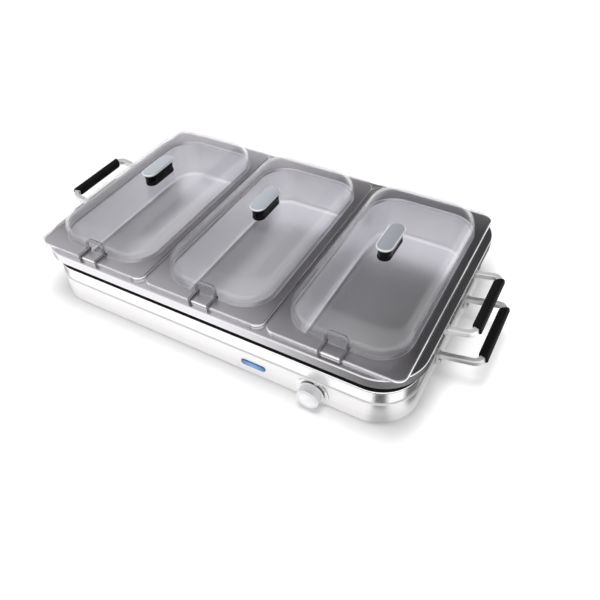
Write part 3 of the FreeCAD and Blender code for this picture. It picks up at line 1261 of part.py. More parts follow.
def save_pans_and_lids():
    """Carrier frame, pans, lids and lid handles."""
    save("carrier_frame", make_carrier_frame())
    lid = make_lid()
    pillar = make_lid_pillar()
    cap = make_lid_cap()
    fixings = make_lid_screw()
    for name in PAN_NAMES:
        shift = V(PAN_X[name], 0, 0)
        save("pan_" + name, make_pan(PAN_X[name]))
        save("lid_" + name, lid.translated(shift))
        save("lid_pillar_" + name, pillar.translated(shift))
        save("lid_cap_" + name, cap.translated(shift))
        save("lid_fixing_" + name, [piece.translated(shift) for piece in fixings])


os.makedirs("parts", exist_ok=True)
save_base()
save_heating()
save_knob()
save_handles()
save_pans_and_lids()
print("levels", BELT_TOP_Z, SHELL_TOP_Z, SKIRT_Z, FRAME_TOP_Z, PAN_TOP_Z, LID_TOP_Z)
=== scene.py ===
# %% [markdown]
# # An electric food warmer tray, dressed piece by piece
#
# The real thing is a long heated base of pressed stainless sheet, a lift-off steel frame with three
# lift-out food pans, and a clear moulded lid with a spoon notch on every pan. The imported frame
# already holds each of these pieces as an exact solid in its place.
#
# Two ways lead from there to a finished look: paint the solids as they are, or put a finer surface
# over the ones whose edges and curves carry the look. Pressed sheet lives from its soft folded
# edges, so the shells, pans, grips and knob get new surfaces here. The clear lids, the frame, the
# bars and the hidden hardware keep their solids and get a worked-out finish.

# %% Load the frame and keep its box
import math

import bpy
import numpy as np
from mathutils import Matrix, Vector


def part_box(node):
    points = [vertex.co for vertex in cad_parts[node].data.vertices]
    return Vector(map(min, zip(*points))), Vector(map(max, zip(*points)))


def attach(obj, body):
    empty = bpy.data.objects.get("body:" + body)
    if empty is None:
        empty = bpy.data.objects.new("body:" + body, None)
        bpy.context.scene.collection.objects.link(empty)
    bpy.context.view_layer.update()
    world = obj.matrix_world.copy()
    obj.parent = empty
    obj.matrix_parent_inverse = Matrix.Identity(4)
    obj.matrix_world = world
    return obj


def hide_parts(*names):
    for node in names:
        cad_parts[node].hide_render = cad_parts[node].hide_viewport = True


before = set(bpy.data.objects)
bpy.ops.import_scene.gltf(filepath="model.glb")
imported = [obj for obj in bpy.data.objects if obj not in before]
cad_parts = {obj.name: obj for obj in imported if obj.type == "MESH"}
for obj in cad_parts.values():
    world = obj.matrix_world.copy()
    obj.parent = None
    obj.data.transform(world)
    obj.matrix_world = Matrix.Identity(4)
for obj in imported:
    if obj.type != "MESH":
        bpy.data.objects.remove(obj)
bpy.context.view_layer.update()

# %% [markdown]
# ## Where the base stands
#
# The knob sticks out at the front, so the middle of the whole box lies a little in front of the
# middle of the base. Every sheet-metal outline is centred on the base, so its middle is measured
# from the belt once and used everywhere. Sizes below are in millimetres, as on a workshop drawing,
# and one factor turns them into Blender's metres.

# %% Millimetres, and the middle of the base
MM = 0.001


def measured(node):
    """Low and high corners of a solid, in millimetres, as two arrays."""
    low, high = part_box(node)
    return np.array(low) / MM, np.array(high) / MM


belt_low, belt_high = measured("lower_belt")
BASE_Y = (belt_low[1] + belt_high[1]) / 2
PAN_MIDDLES = {name: sum(measured("pan_" + name))[0] / 2 for name in ("left", "middle", "right")}
print("base middle y:", round(BASE_Y, 2), "mm; pans at x:", {k: round(v, 1) for k, v in PAN_MIDDLES.items()})

# %% [markdown]
# ## Shader maths as plain expressions
#
# A finish is a small recipe: some noise, stretched one way, nudges colour, roughness and height. In
# the node editor that is a web of Math nodes. Written as Python, `rough + 0.1 * streaks` says the
# same in one line, so a socket is wrapped in a class that builds the Math nodes behind the
# operators. The reflected forms make `1 - mask` work as well.

# %% A socket that can be added and multiplied
class Wire:
    """A node output that takes part in sums; each operator adds one Math node."""

    def __init__(self, finish, socket):
        self.finish = finish
        self.socket = socket

    def maths(self, operation, *terms):
        return self.finish.node("ShaderNodeMath", {"operation": operation}, dict(enumerate(terms)))

    def __add__(self, other):
        return self.maths("ADD", self, other)

    def __sub__(self, other):
        return self.maths("SUBTRACT", self, other)

    def __rsub__(self, other):
        return self.maths("SUBTRACT", other, self)

    def __mul__(self, other):
        return self.maths("MULTIPLY", self, other)

    def __pow__(self, other):
        return self.maths("POWER", self, other)

    def __abs__(self):
        return self.maths("ABSOLUTE", self)

    __radd__ = __add__
    __rmul__ = __mul__

    def larger(self, other):
        """The larger of two values."""
        return self.maths("MAXIMUM", self, other)

    def smaller(self, other):
        """The smaller of two values."""
        return self.maths("MINIMUM", self, other)

    def ramp(self, low, high):
        """0 below low, 1 above high, and an S-curve in between; low may be above high."""
        return self.finish.node("ShaderNodeMapRange", {"interpolation_type": "SMOOTHSTEP"},
                                {"Value": self, "From Min": low, "From Max": high})


# %% A finish: one Principled shader and the nodes in front of it
class Finish:
    """A material by name. Fixed numbers go on the shader's own sockets."""

    def __init__(self, name, **fixed):
        self.material = bpy.data.materials.new(name)
        self.material.use_nodes = True
        self.tree = self.material.node_tree
        self.shader = self.tree.nodes["Principled BSDF"]
        self.output = self.tree.nodes["Material Output"]
        for socket, value in fixed.items():
            self.shader.inputs[socket.replace("_", " ")].default_value = value

    def node(self, kind, settings=None, inputs=None, out=0):
        """Add a node: its settings first, then its sockets by name or number; returns one output."""
        made = self.tree.nodes.new(kind)
        for key, value in (settings or {}).items():
            setattr(made, key, value)
        for key, value in (inputs or {}).items():
            if isinstance(value, Wire):
                self.tree.links.new(value.socket, made.inputs[key])
            else:
                made.inputs[key].default_value = value
        return Wire(self, made.outputs[out])

    def feed(self, socket, wire):
        """Let a varying value or colour drive one socket of the shader."""
        self.tree.links.new(wire.socket, self.shader.inputs[socket])

    def place(self, scale=(1, 1, 1), shift=(0, 0, 0)):
        """Object coordinates in metres, shifted and then scaled along each axis."""
        here = self.node("ShaderNodeTexCoord", out="Object")
        moved = self.node("ShaderNodeVectorMath", {"operation": "SUBTRACT"}, {0: here, 1: shift})
        return self.node("ShaderNodeVectorMath", {"operation": "MULTIPLY"}, {0: moved, 1: scale})

    def axes(self, vector):
        """The x, y and z of a vector, as three outputs."""
        split = self.node("ShaderNodeSeparateXYZ", None, {0: vector})
        return [Wire(self, output) for output in split.socket.node.outputs]

    def millimetres(self):
        """Object coordinates in millimetres, as three outputs."""
        return self.axes(self.place((1 / MM, 1 / MM, 1 / MM)))

    def length(self, vector):
        """The length of a vector."""
        return self.node("ShaderNodeVectorMath", {"operation": "LENGTH"}, {0: vector}, out="Value")

    def zone(self):
        """The point attribute "zone", which a skin writes from one number per row."""
        return self.node("ShaderNodeAttribute", {"attribute_name": "zone"}, out="Fac")

    def rays(self):
        """Whether a ray comes from the camera, from a glossy or from a see-through surface."""
        outputs = self.node("ShaderNodeLightPath").socket.node.outputs
        return [Wire(self, outputs[f"Is {kind} Ray"]) for kind in ("Camera", "Glossy", "Transmission")]

    def principled(self):
        """The Principled shader's own output."""
        return Wire(self, self.shader.outputs[0])

    def blend(self, amount, first, second):
        """Shader between first, at amount 0, and second, at amount 1."""
        return self.node("ShaderNodeMixShader", None, {0: amount, 1: first, 2: second})

    def surface(self, shader):
        """Make a mixed shader the surface, in place of the Principled one alone."""
        self.tree.links.new(shader.socket, self.output.inputs["Surface"])

    def noise(self, scale=(1, 1, 1), detail=2.0, roughness=0.5):
        """Cloudy noise from 0 to 1; scale is in features per metre along X, Y and Z."""
        return self.node("ShaderNodeTexNoise", None, {
            "Vector": self.place(scale), "Scale": 1.0, "Detail": detail, "Roughness": roughness})

    def mix(self, amount, first, second):
        """Colour between first, at amount 0, and second, at amount 1."""
        return self.node("ShaderNodeMix", {"data_type": "RGBA"}, {0: amount, 6: first, 7: second}, out=2)

    def bump(self, height, distance, strength=1.0):
        """Normal of a surface raised by height times distance, in metres."""
        return self.node("ShaderNodeBump", None,
                         {"Height": height, "Distance": distance, "Strength": strength}, out="Normal")


def tone(red, green, blue, factor=1.0):
    """A linear colour with full alpha, made darker or lighter by a factor."""
    return (red * factor, green * factor, blue * factor, 1.0)


print("shader helpers ready")

# %% [markdown]
# ## Stainless sheet
#
# Satin stainless is ground with a belt, which leaves fine parallel hairlines and, at a glance, a
# soft stretched shine. Anisotropic shading could fake that, but it has to know the grinding
# direction everywhere. Noise squeezed across the grain and stretched along it gives real hairlines
# at any zoom, and the same noise drives roughness, so the shine breaks up along them.
#
# The polished band is the same metal with shallower lines and a lower roughness, plus the faint
# cloudy smudges that every polished surface collects.

# %% Brushed and polished steel
def hairlines(finish, grain):
    """Fine lines over coarser ones, from 0 to 1; grain is in lines per metre along X, Y and Z."""
    return finish.noise(grain, 3.0, 0.6) * 0.7 + finish.noise(tuple(value / 6 for value in grain), 2.0) * 0.3


def steel(name, colour, roughness, grain, depth=0.00002, contrast=0.07, smudge=0.05, metallic=1.0):
    """Metal with hairlines, depth metres deep, and cloudy smudges that roughen it."""
    finish = Finish(name, Metallic=metallic)
    wear = hairlines(finish, grain)
    clouds = finish.noise((9, 9, 9), 3.0, 0.6)
    dark = tone(*colour, 1 - contrast)
    light = tone(*colour, 1 + contrast / 2)
    finish.feed("Base Color", finish.mix(wear.ramp(0.3, 0.7), dark, light))
    finish.feed("Roughness", roughness + 0.10 * (wear - 0.5) + smudge * clouds.ramp(0.45, 0.75))
    finish.feed("Normal", finish.bump(wear, depth, 0.6))
    return finish.material


belt_satin = steel("belt_satin", (0.80, 0.79, 0.79), 0.30, (5, 5, 2600), 0.00002, 0.05)
band_polish = steel("band_polish", (0.85, 0.84, 0.845), 0.24, (5, 5, 1500), 0.00001, 0.03, 0.03)
well_satin = steel("well_satin", (0.72, 0.72, 0.74), 0.34, (1800, 6, 6))
frame_satin = steel("frame_satin", (0.70, 0.685, 0.71), 0.15, (6, 6, 1800), 0.000006, 0.03, 0.03)
bar_bright = steel("bar_bright", (0.80, 0.80, 0.81), 0.34, (40, 900, 900), 0.00001, 0.05, metallic=0.7)
cover_zinc = steel("cover_zinc", (0.55, 0.56, 0.58), 0.42, (60, 60, 60), 0.00002, 0.12)
screw_zinc = steel("screw_zinc", (0.66, 0.67, 0.69), 0.30, (700, 700, 700), 0.00001, 0.08)
plate_mill = steel("plate_mill", (0.68, 0.69, 0.71), 0.38, (6, 1900, 6))
print("materials so far:", len(bpy.data.materials))

# %% [markdown]
# ## Plastics, rubber and the clear lids
#
# Moulded grips are matt with a fine leathery texture; the lid pillars are the same black plastic
# but polished, so they need a clear highlight and hardly any texture.
#
# The lids are clear plastic about 2 mm thick. A full refracting glass would also work, but light
# then reaches the pans only through caustics, which come out as noise. A see-through shader mixed
# with a glossy one lets shadows and light pass, and the mix follows the viewing angle: faint from
# above, brighter where the wall turns away. A little white haze stands for fine scuffs.

# %% Moulded plastics and rubber
def moulded(name, colour, roughness, texture, depth, **fixed):
    """Plastic or rubber with an even fine texture; texture is in features per metre."""
    finish = Finish(name, **fixed)
    fine = finish.noise((texture,) * 3, 2.0, 0.7)
    broad = finish.noise((35, 35, 35), 2.0)
    finish.feed("Base Color", finish.mix(broad.ramp(0.3, 0.7), tone(*colour, 0.85), tone(*colour, 1.15)))
    finish.feed("Roughness", roughness + 0.12 * (fine - 0.5))
    finish.feed("Normal", finish.bump(fine, depth, 0.5))
    return finish.material


grip_plastic = moulded("grip_plastic", (0.004, 0.004, 0.0045), 0.60, 1300, 0.00012, Specular_IOR_Level=0.12)
ring_plastic = moulded("ring_plastic", (0.004, 0.004, 0.005), 0.55, 600, 0.00003, Specular_IOR_Level=0.15)
foot_rubber = moulded("foot_rubber", (0.020, 0.020, 0.020), 0.75, 900, 0.00008)
pillar_gloss = moulded("pillar_gloss", (0.003, 0.003, 0.004), 0.12, 60, 0.00001, Specular_IOR_Level=0.10)
KNOB_SILVER = (0.76, 0.76, 0.775)
knob_paint = moulded("knob_paint", KNOB_SILVER, 0.34, 2500, 0.00001, Metallic=0.85)
ceramic_white = moulded("ceramic_white", (0.80, 0.78, 0.72), 0.50, 500, 0.00003)
mat_fibre = moulded("mat_fibre", (0.78, 0.76, 0.68), 0.95, 1500, 0.00030)
live_cover = moulded("live_cover", (0.30, 0.11, 0.04), 0.45, 400, 0.00002)
neutral_cover = moulded("neutral_cover", (0.04, 0.10, 0.45), 0.45, 400, 0.00002)
earth_cover = moulded("earth_cover", (0.20, 0.45, 0.06), 0.45, 400, 0.00002)
brass_bright = steel("brass_bright", (0.70, 0.52, 0.22), 0.26, (500, 500, 500), 0.00001, 0.08)
element_dark = steel("element_dark", (0.22, 0.19, 0.18), 0.48, (90, 90, 90), 0.00003, 0.25)
print("materials so far:", len(bpy.data.materials))


# %% Clear lid plastic
NOTCH_HALF, NOTCH_ARC_Z, NOTCH_ROUND = 7.5, 105.1, 6.2
NOTCH_FRONT_Y = BASE_Y - 112.0
BEAD_EDGE = (1.5, 1.0)
FLANGE_TOP = (97.4, 97.2)
# painted shade: the dark grey for the lid's beads and side flange edges
LID_TINT, LID_EDGE_SHADE = tone(0.92, 0.92, 0.94), tone(0.15, 0.145, 0.17)


def notch_beads(x, y, z):
    """1 on the bead round each lid's spoon notch, for a place in millimetres.

    The bead is a U standing on its open end, with round corners. A point's distance from that U, the
    same on both sides of the lid's middle, says whether the point is on it.
    """
    from_middles = [abs(x - middle) for middle in PAN_MIDDLES.values()]
    aside = from_middles[0].smaller(from_middles[1]).smaller(from_middles[2])
    out_x = (aside - NOTCH_HALF).larger(0.0)
    out_z = (z - NOTCH_ARC_Z).larger(0.0)
    away = (out_x * out_x + out_z * out_z) ** 0.5 - NOTCH_ROUND
    return abs(away).ramp(*BEAD_EDGE) * y.ramp(NOTCH_FRONT_Y + 1, NOTCH_FRONT_Y)


def clear_plastic(name, haze, painted_sheen, notched=False):
    """See-through shell: mostly transparent, glossy by the Fresnel law, with a thin white haze, and a whiter
    haze on steep walls that is a painted sheen.

    A notched shell is a lid: its beads and the thin side edges of its flange are painted denser and dark
    grey, a painted shade, and its front and back flange edges get a denser white veil, a painted highlight.
    """
    finish = Finish(name, Base_Color=LID_TINT, Roughness=0.04, IOR=1.49)
    scuffs = finish.noise((220, 220, 220), 4.0, 0.7).ramp(0.45, 0.80)
    turned_away = finish.node("ShaderNodeLayerWeight", None, {"Blend": 0.5}, out="Facing")
    gloss = 0.04 + 0.96 * turned_away ** 5
    normal_x, _, normal_z = finish.axes(finish.node("ShaderNodeNewGeometry", out="Normal"))
    steep = abs(normal_z).ramp(0.97, 0.25)
    # painted sheen: steep walls get a whiter haze on top of the scuffs
    veil = haze * (0.7 + 0.6 * scuffs) + painted_sheen * steep
    if notched:
        x, y, z = finish.millimetres()
        bead = notch_beads(x, y, z)
        flange_edge = z.ramp(*FLANGE_TOP) * steep
        side_edge_shade = flange_edge * abs(normal_x).ramp(0.5, 0.9)
        # painted shade on the beads and side flange edges; painted highlight veil on the front and back
        # flange edges
        veil = veil.larger(0.82 * bead + 0.18 * flange_edge + 0.36 * side_edge_shade)
        finish.feed("Base Color", finish.mix(bead.larger(0.95 * side_edge_shade), LID_TINT, LID_EDGE_SHADE))
    clear = finish.node("ShaderNodeBsdfTransparent", None, {"Color": tone(0.985, 0.983, 0.99)})
    shine = finish.node("ShaderNodeBsdfAnisotropic", None, {"Color": tone(1, 1, 1), "Roughness": 0.03})
    finish.surface(finish.blend(gloss, finish.blend(veil, clear, finish.principled()), shine))
    return finish.material


lid_plastic = clear_plastic("lid_plastic", 0.006, 0.035, notched=True)
lamp_glass = clear_plastic("lamp_glass", 0.10, 0.20)
print("clear finishes ready")

# %% [markdown]
# ## Surfaces from profiles
#
# Almost every sheet piece here is a profile carried round a rectangle with round corners: a belt, a
# shell, a pan, even the cap of a lid handle. One function therefore makes the outline, one rounds
# the corners of a profile, and one skins the grid of points between them. An outline is written as
# its half length, half width and corner radius.
#
# The sweep needs short faces next to every bend. Without them, smooth shading would tilt a whole
# flat wall. So every arc, in the profile and in the outline, is followed by a point just beyond it.

# %% A profile with rounded corners
def rounded_profile(corners, closed=True, steps=6, hold=0.15):
    """Corners are rows (inset, height, radius). Each becomes an arc that touches both its runs.

    With unit vectors a and b from the corner towards its neighbours and h half the angle between
    them, the arc's centre lies r / sin h along a + b, and the arc starts r / tan h along a.
    """
    corners = [np.array(corner, float) for corner in corners]
    points = []
    for index, corner in enumerate(corners):
        at, radius = corner[:2], corner[2]
        if not closed and index in (0, len(corners) - 1):
            points.append(at[None])
            continue
        before = corners[index - 1][:2] - at
        after = corners[(index + 1) % len(corners)][:2] - at
        before, after = before / np.linalg.norm(before), after / np.linalg.norm(after)
        half = math.acos(np.clip(before @ after, -1, 1)) / 2
        start = at + before * radius / math.tan(half)
        end = at + after * radius / math.tan(half)
        middle = at + (before + after) / np.linalg.norm(before + after) * radius / math.sin(half)
        share = np.linspace(0, 1, steps + 1)[:, None]
        sweep = math.pi - 2 * half
        arc = (np.sin((1 - share) * sweep) * (start - middle) + np.sin(share * sweep) * (end - middle))
        arc = middle + arc / math.sin(sweep)
        points.append(np.vstack([start + before * hold, arc, end + after * hold]))
    return np.vstack(points)


# %% A rectangle with round corners, as many rows at once
CORNER_STEPS = 28
CORNER_HOLD = 1.5
SMALLEST_RADIUS = 0.05


def outline_rows(half_x, half_y, radius, path):
    """Rows (half x, half y, corner radius, height) of an outline moved in along a profile."""
    inset, height = path[:, 0], path[:, 1]
    inner_radius = np.maximum(radius - inset, SMALLEST_RADIUS)
    return np.column_stack([half_x - inset, half_y - inset, inner_radius, height])


def ring_points(rows, middle, steps=CORNER_STEPS, hold=CORNER_HOLD):
    """Points (row, place, xyz): corner centre + r (cos t, sin t), with t over a quarter turn each."""
    quarter = np.linspace(0, math.pi / 2, steps + 1)
    turn = np.concatenate([np.r_[quarter[0], quarter, quarter[-1]] + k * math.pi / 2 for k in range(4)])
    slide = np.tile(np.r_[-hold, np.zeros(steps + 1), hold], 4)
    sign_x = np.repeat([1, -1, -1, 1], steps + 3)
    sign_y = np.repeat([1, 1, -1, -1], steps + 3)
    half_x, half_y, radius, height = (rows[:, k, None] for k in range(4))
    room = np.minimum(half_x, half_y) - radius
    slide = np.sign(slide) * np.minimum(np.abs(slide), np.maximum(room, 0) * 0.5)
    x = sign_x * (half_x - radius) + radius * np.cos(turn) - slide * np.sin(turn)
    y = sign_y * (half_y - radius) + radius * np.sin(turn) + slide * np.cos(turn)
    z = np.broadcast_to(height, x.shape)
    return np.stack([x + middle[0], y + middle[1], z], axis=-1)


def carried(profile, outline, middle):
    """Points of a profile carried round an outline."""
    return ring_points(outline_rows(*outline, profile), middle)


# %% Skin a grid of points and hang it on a body
SHARP_FROM = math.radians(40.0)


def skin(name, points, material, body, nodes, closed=True, zones=None):
    """Mesh from points (row, place, xyz) in millimetres; places always close up into a ring.

    A closed skin also joins its last row to its first. An open one gets a fan to the middle of each
    end row, which closes the seam at its poles. Zones, one number per row, become a point attribute
    that a finish can read.
    """
    rows, places = points.shape[:2]
    here = np.arange(rows * places).reshape(rows, places)
    upper = np.roll(here, -1, axis=0) if closed else here[1:]
    lower = here if closed else here[:-1]
    faces = np.stack([lower, np.roll(lower, -1, 1), np.roll(upper, -1, 1), upper], -1).reshape(-1, 4).tolist()
    places_xyz = points.reshape(-1, 3)
    if not closed:
        for row, poles in ((0, len(places_xyz)), (-1, len(places_xyz) + 1)):
            ring = here[row]
            fan = np.stack([np.roll(ring, -1), ring, np.full(places, poles)], -1)
            faces += (fan if row == 0 else fan[:, [1, 0, 2]]).tolist()
        places_xyz = np.vstack([places_xyz, points[0].mean(0), points[-1].mean(0)])
    mesh = bpy.data.meshes.new(name)
    mesh.from_pydata((places_xyz * MM).tolist(), [], faces)
    mesh.materials.append(material)
    mesh.polygons.foreach_set("use_smooth", np.ones(len(mesh.polygons), bool))
    mesh.set_sharp_from_angle(angle=SHARP_FROM)
    if zones is not None:
        values = np.repeat(zones, places)
        if not closed:
            values = np.r_[values, zones[0], zones[-1]]
        mesh.attributes.new("zone", "FLOAT", "POINT").data.foreach_set("value", values.astype(np.float32))
    piece = bpy.data.objects.new(name, mesh)
    bpy.context.scene.collection.objects.link(piece)
    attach(piece, body)
    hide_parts(*nodes)
    print(f"{name}: {len(mesh.polygons)} faces on {body}")


# %% [markdown]
# ## The base: belt, shell, well and seat ring
#
# The belt is one strip bent round the base, with its upper edge folded over into a bright hem and
# its lower edge turned in to carry the bottom cover. Inside it stands the polished upper shell,
# whose shoulder rolls over into a narrow flange. The heated well hangs from that flange, and a
# black ring on top carries the frame. All four are profiles carried round the base: three close on
# themselves, and the well runs from the middle of its underside to the middle of its floor.

# %% Belt with its hem
BELT = (belt_high[0], (belt_high[1] - belt_low[1]) / 2, 53.0)
BASE_MIDDLE = (0.0, BASE_Y)
belt_foot, belt_top = belt_low[2], belt_high[2]
belt_profile = rounded_profile([
    (0.45, belt_foot, 1.3), (0.45, belt_top - 3.6, 0.25), (0.0, belt_top - 3.1, 0.25), (0.0, belt_top, 1.3),
    (1.6, belt_top, 0.05), (1.6, belt_foot + 1.5, 0.5), (12.0, belt_foot + 1.5, 0.3), (12.0, belt_foot, 0.3)])
skin("belt_sheet", carried(belt_profile, BELT, BASE_MIDDLE), belt_satin, "base",
     ["lower_belt"])

# %% Upper shell, well and seat ring
SHEET = 1.0
SHELL, SHELL_FOOT, SHELL_TOP = (269.9, 163.4, 51.4), 4.5, 62.5
below_shell = SHELL_TOP - SHEET
shell_profile = rounded_profile([
    (0.0, SHELL_FOOT, 0.3), (0.0, SHELL_TOP, 4.0), (12.0, SHELL_TOP, 0.3), (12.0, below_shell, 0.3),
    (SHEET, below_shell, 3.0), (SHEET, SHELL_FOOT, 0.3)])
skin("shell_sheet", carried(shell_profile, SHELL, BASE_MIDDLE), band_polish, "base",
     ["upper_shell"])

WELL, WELL_FOOT, WELL_FLOOR = (258.9, 152.4, 40.4), 28.3, 29.3
below_flange = below_shell - SHEET
well_profile = rounded_profile([
    (8.0, WELL_FOOT, 0.0), (0.0, WELL_FOOT, 2.2), (0.0, below_flange, 0.4), (-6.0, below_flange, 0.3),
    (-6.0, below_shell, 0.3), (SHEET, below_shell, 0.6), (SHEET, WELL_FLOOR, 1.4),
    (8.0, WELL_FLOOR, 0.0)], closed=False)
skin("well_sheet", carried(well_profile, WELL, BASE_MIDDLE), well_satin, "base",
     ["well_pan"], closed=False)

ring_low, ring_high = measured("seat_ring")
RING = (ring_high[0], (ring_high[1] - ring_low[1]) / 2, 47.4)
ring_profile = rounded_profile([
    (-3.45, ring_low[2] - 1.77, 0.1), (-4.17, ring_low[2] - 1.23, 0.1), (-2.49, ring_low[2] + 1.0, 4.0),
    (0.0, ring_low[2] + 1.0, 0.4), (0.0, ring_high[2], 1.2), (6.5, ring_high[2], 1.2),
    (6.5, ring_low[2] + 0.05, 0.5), (-2.04, ring_low[2] + 0.1, 4.1)])
skin("seat_band", carried(ring_profile, RING, BASE_MIDDLE), ring_plastic, "base",
     ["seat_ring"])

# %% [markdown]
# ## The food pans
#
# A third-size food pan is drawn from one sheet: a flat floor, slightly tapered walls, a rounded
# mouth, a flat satin rim and a lip turned down round it. The rim's outer corners are much tighter
# than the mouth's, so the rows of the surface change from one outline to the other on the flat
# rim, where the change doesn't show.
#
# One skin runs from the middle of the underside, round the lip, and down to the middle of
# the floor, so the sheet has its real thickness everywhere.

# %% Three drawn pans
RIM = (88.0, 162.5, 13.0)
MOUTH = (76.5, 146.0, 42.0)
pan_low, pan_high = measured("pan_middle")
PAN_FOOT, PAN_RIM = pan_low[2], pan_high[2]
LIP_ZONE, RIM_ZONE, BOWL_ZONE = 0.0, 1.0, 2.0
PAN_SHEET, LIP_DROP = 0.9, 3.7
PAN_RIM_STEEL, PAN_SIDE_SHADE_STEEL = (0.61, 0.59, 0.615), (0.30, 0.285, 0.305)
PAN_BOWL_STEEL, PAN_LIP_HIGHLIGHT_STEEL = (0.93, 0.925, 0.95), (0.92, 0.915, 0.93)
PAN_GRAIN = (1500, 7, 7)
SIDE_SHADE_SPAN = (164.0, 108.0)
WALL_FROM, WALL_TO = 3.0, 16.0


def pan_rows():
    """Rows of one pan from the underside's middle to the floor's middle, and the zone of each row."""
    below_rim, above_foot = PAN_RIM - PAN_SHEET, PAN_FOOT + PAN_SHEET
    under_bowl = rounded_profile([
        (20.0, PAN_FOOT, 0.0), (7.5, PAN_FOOT, 9.0), (0.3, below_rim, 1.2), (-2.5, below_rim, 0.0)],
        closed=False, steps=9)
    lip = rounded_profile([
        (3.0, below_rim, 0.0), (PAN_SHEET, below_rim, 0.6), (PAN_SHEET, PAN_RIM - LIP_DROP, 0.2),
        (0.0, PAN_RIM - LIP_DROP, 0.2), (0.0, PAN_RIM, 2.1), (3.5, PAN_RIM, 0.0)], closed=False)
    inside = rounded_profile([
        (-4.0, PAN_RIM, 0.0), (PAN_SHEET, PAN_RIM, 2.4), (8.3, above_foot, 8.1), (20.0, above_foot, 0.0)],
        closed=False, steps=9)
    rows = np.vstack([
        outline_rows(*MOUTH, under_bowl), outline_rows(*RIM, lip), outline_rows(*MOUTH, inside)])
    lip_zone = np.where(lip[:, 1] > PAN_RIM - 0.45, RIM_ZONE, LIP_ZONE)
    bowl_zone = np.where(inside[:, 1] > PAN_RIM - 0.2, RIM_ZONE, BOWL_ZONE)
    return rows, np.concatenate([np.full(len(under_bowl), LIP_ZONE), lip_zone, bowl_zone])


def pan_finish():
    """Steel in three zones: a smooth rolled lip painted far paler than the rim, a painted highlight, a ground
    satin rim, and a paler bowl.

    The rim's two long sides are painted darker from their ends on, a painted dark reflection.
    The drawn walls are matt and scatter the light, so they lose part of their metallic
    share.
    """
    finish = Finish("pan_satin")
    zone = finish.zone()
    grain = finish.noise(PAN_GRAIN, 3.0, 0.6)
    _, y, height = finish.millimetres()
    past_lip, in_bowl = zone.ramp(LIP_ZONE, RIM_ZONE), zone.ramp(RIM_ZONE, BOWL_ZONE)

    def ground(colour, darkest, lightest):
        return finish.mix(grain, tone(*colour, darkest), tone(*colour, lightest))

    # painted dark reflection: the rim's long sides get a much darker steel colour
    on_side = abs(y - BASE_Y).ramp(*SIDE_SHADE_SPAN)
    rim = finish.mix(on_side, ground(PAN_RIM_STEEL, 0.96, 1.03), ground(PAN_SIDE_SHADE_STEEL, 0.96, 1.03))
    # painted highlight: the rolled lip gets a much paler steel than the rim
    outer = finish.mix(past_lip, ground(PAN_LIP_HIGHLIGHT_STEEL, 0.90, 1.10), rim)
    finish.feed("Base Color", finish.mix(in_bowl, outer, ground(PAN_BOWL_STEEL, 0.94, 1.02)))
    on_wall = in_bowl * height.ramp(PAN_FOOT + WALL_FROM, PAN_FOOT + WALL_TO)
    finish.feed("Metallic", 1.0 - 0.30 * on_wall)
    finish.feed("Roughness", 0.16 + 0.20 * past_lip - 0.05 * in_bowl + 0.05 * (grain - 0.5))
    finish.feed("Normal", finish.bump(hairlines(finish, PAN_GRAIN), 0.000003, 0.6))
    return finish.material


pan_satin = pan_finish()
rows, zones = pan_rows()
for side, x in PAN_MIDDLES.items():
    skin("pan_sheet_" + side, ring_points(rows, (x, BASE_Y)), pan_satin, "food_pan_" + side,
         ["pan_" + side], closed=False, zones=zones)

# %% [markdown]
# ## Lid handles
#
# Each lid is lifted by a glossy black pillar under a flat silver cap. Both are long slots seen from
# above. A slot is only a rectangle whose corner radius is half its width, so the same sweep makes
# them: the pillar with a wider foot and a drawn-in waist, the cap with a bevelled rim and a top that
# is crowned by a few tenths of a millimetre, which gives it its soft gradient.

# %% Pillars and caps
PILLAR = (9.6, 26.8, 9.55)
pillar_low, pillar_high = measured("lid_pillar_middle")
pillar_profile = rounded_profile([
    (6.0, pillar_low[2], 0.0), (0.5, pillar_low[2], 0.5), (0.5, pillar_low[2] + 2.6, 0.9),
    (1.3, pillar_low[2] + 4.4, 1.5), (0.2, pillar_high[2], 0.3), (6.0, pillar_high[2], 0.0)], closed=False)
CAP = (11.0, 29.0, 10.95)
cap_low, cap_high = measured("lid_cap_middle")
cap_profile = rounded_profile([
    (6.0, cap_low[2], 0.0), (0.0, cap_low[2], 0.3), (0.0, cap_high[2] - 1.3, 0.35),
    (1.3, cap_high[2] - 0.25, 0.6), (7.0, cap_high[2], 0.0)], closed=False)
CAP_SILVER, CAP_EDGE_HIGHLIGHT_SILVER = (0.57, 0.60, 0.66), (0.97, 0.975, 0.98)
CAP_EDGE_DROP = 0.9


def cap_finish():
    """Silver satin top with a polished edge below the crown, whose much paler colour is a painted highlight.
    """
    finish = Finish("cap_satin", Metallic=0.6)
    painted_sheen = finish.zone()
    # painted highlight: the bevel zone takes a near-white silver
    finish.feed("Base Color", finish.mix(painted_sheen, tone(*CAP_SILVER), tone(*CAP_EDGE_HIGHLIGHT_SILVER)))
    finish.feed("Roughness", 0.32 - 0.12 * painted_sheen)
    finish.feed("Normal", finish.bump(finish.noise((900, 900, 900), 2.0, 0.7), 0.00001, 0.5))
    return finish.material


cap_satin = cap_finish()
# painted highlight: the bevel rows below the crown get the much paler silver
cap_edge_highlight = (cap_profile[:, 1] < cap_high[2] - CAP_EDGE_DROP) * 1.0
for side, x in PAN_MIDDLES.items():
    skin("pillar_" + side, carried(pillar_profile, PILLAR, (x, BASE_Y)), pillar_gloss,
         "lid_unit_" + side, ["lid_pillar_" + side], closed=False)
    skin("cap_" + side, carried(cap_profile, CAP, (x, BASE_Y)), cap_satin,
         "lid_unit_" + side, ["lid_cap_" + side], closed=False, zones=cap_edge_highlight)

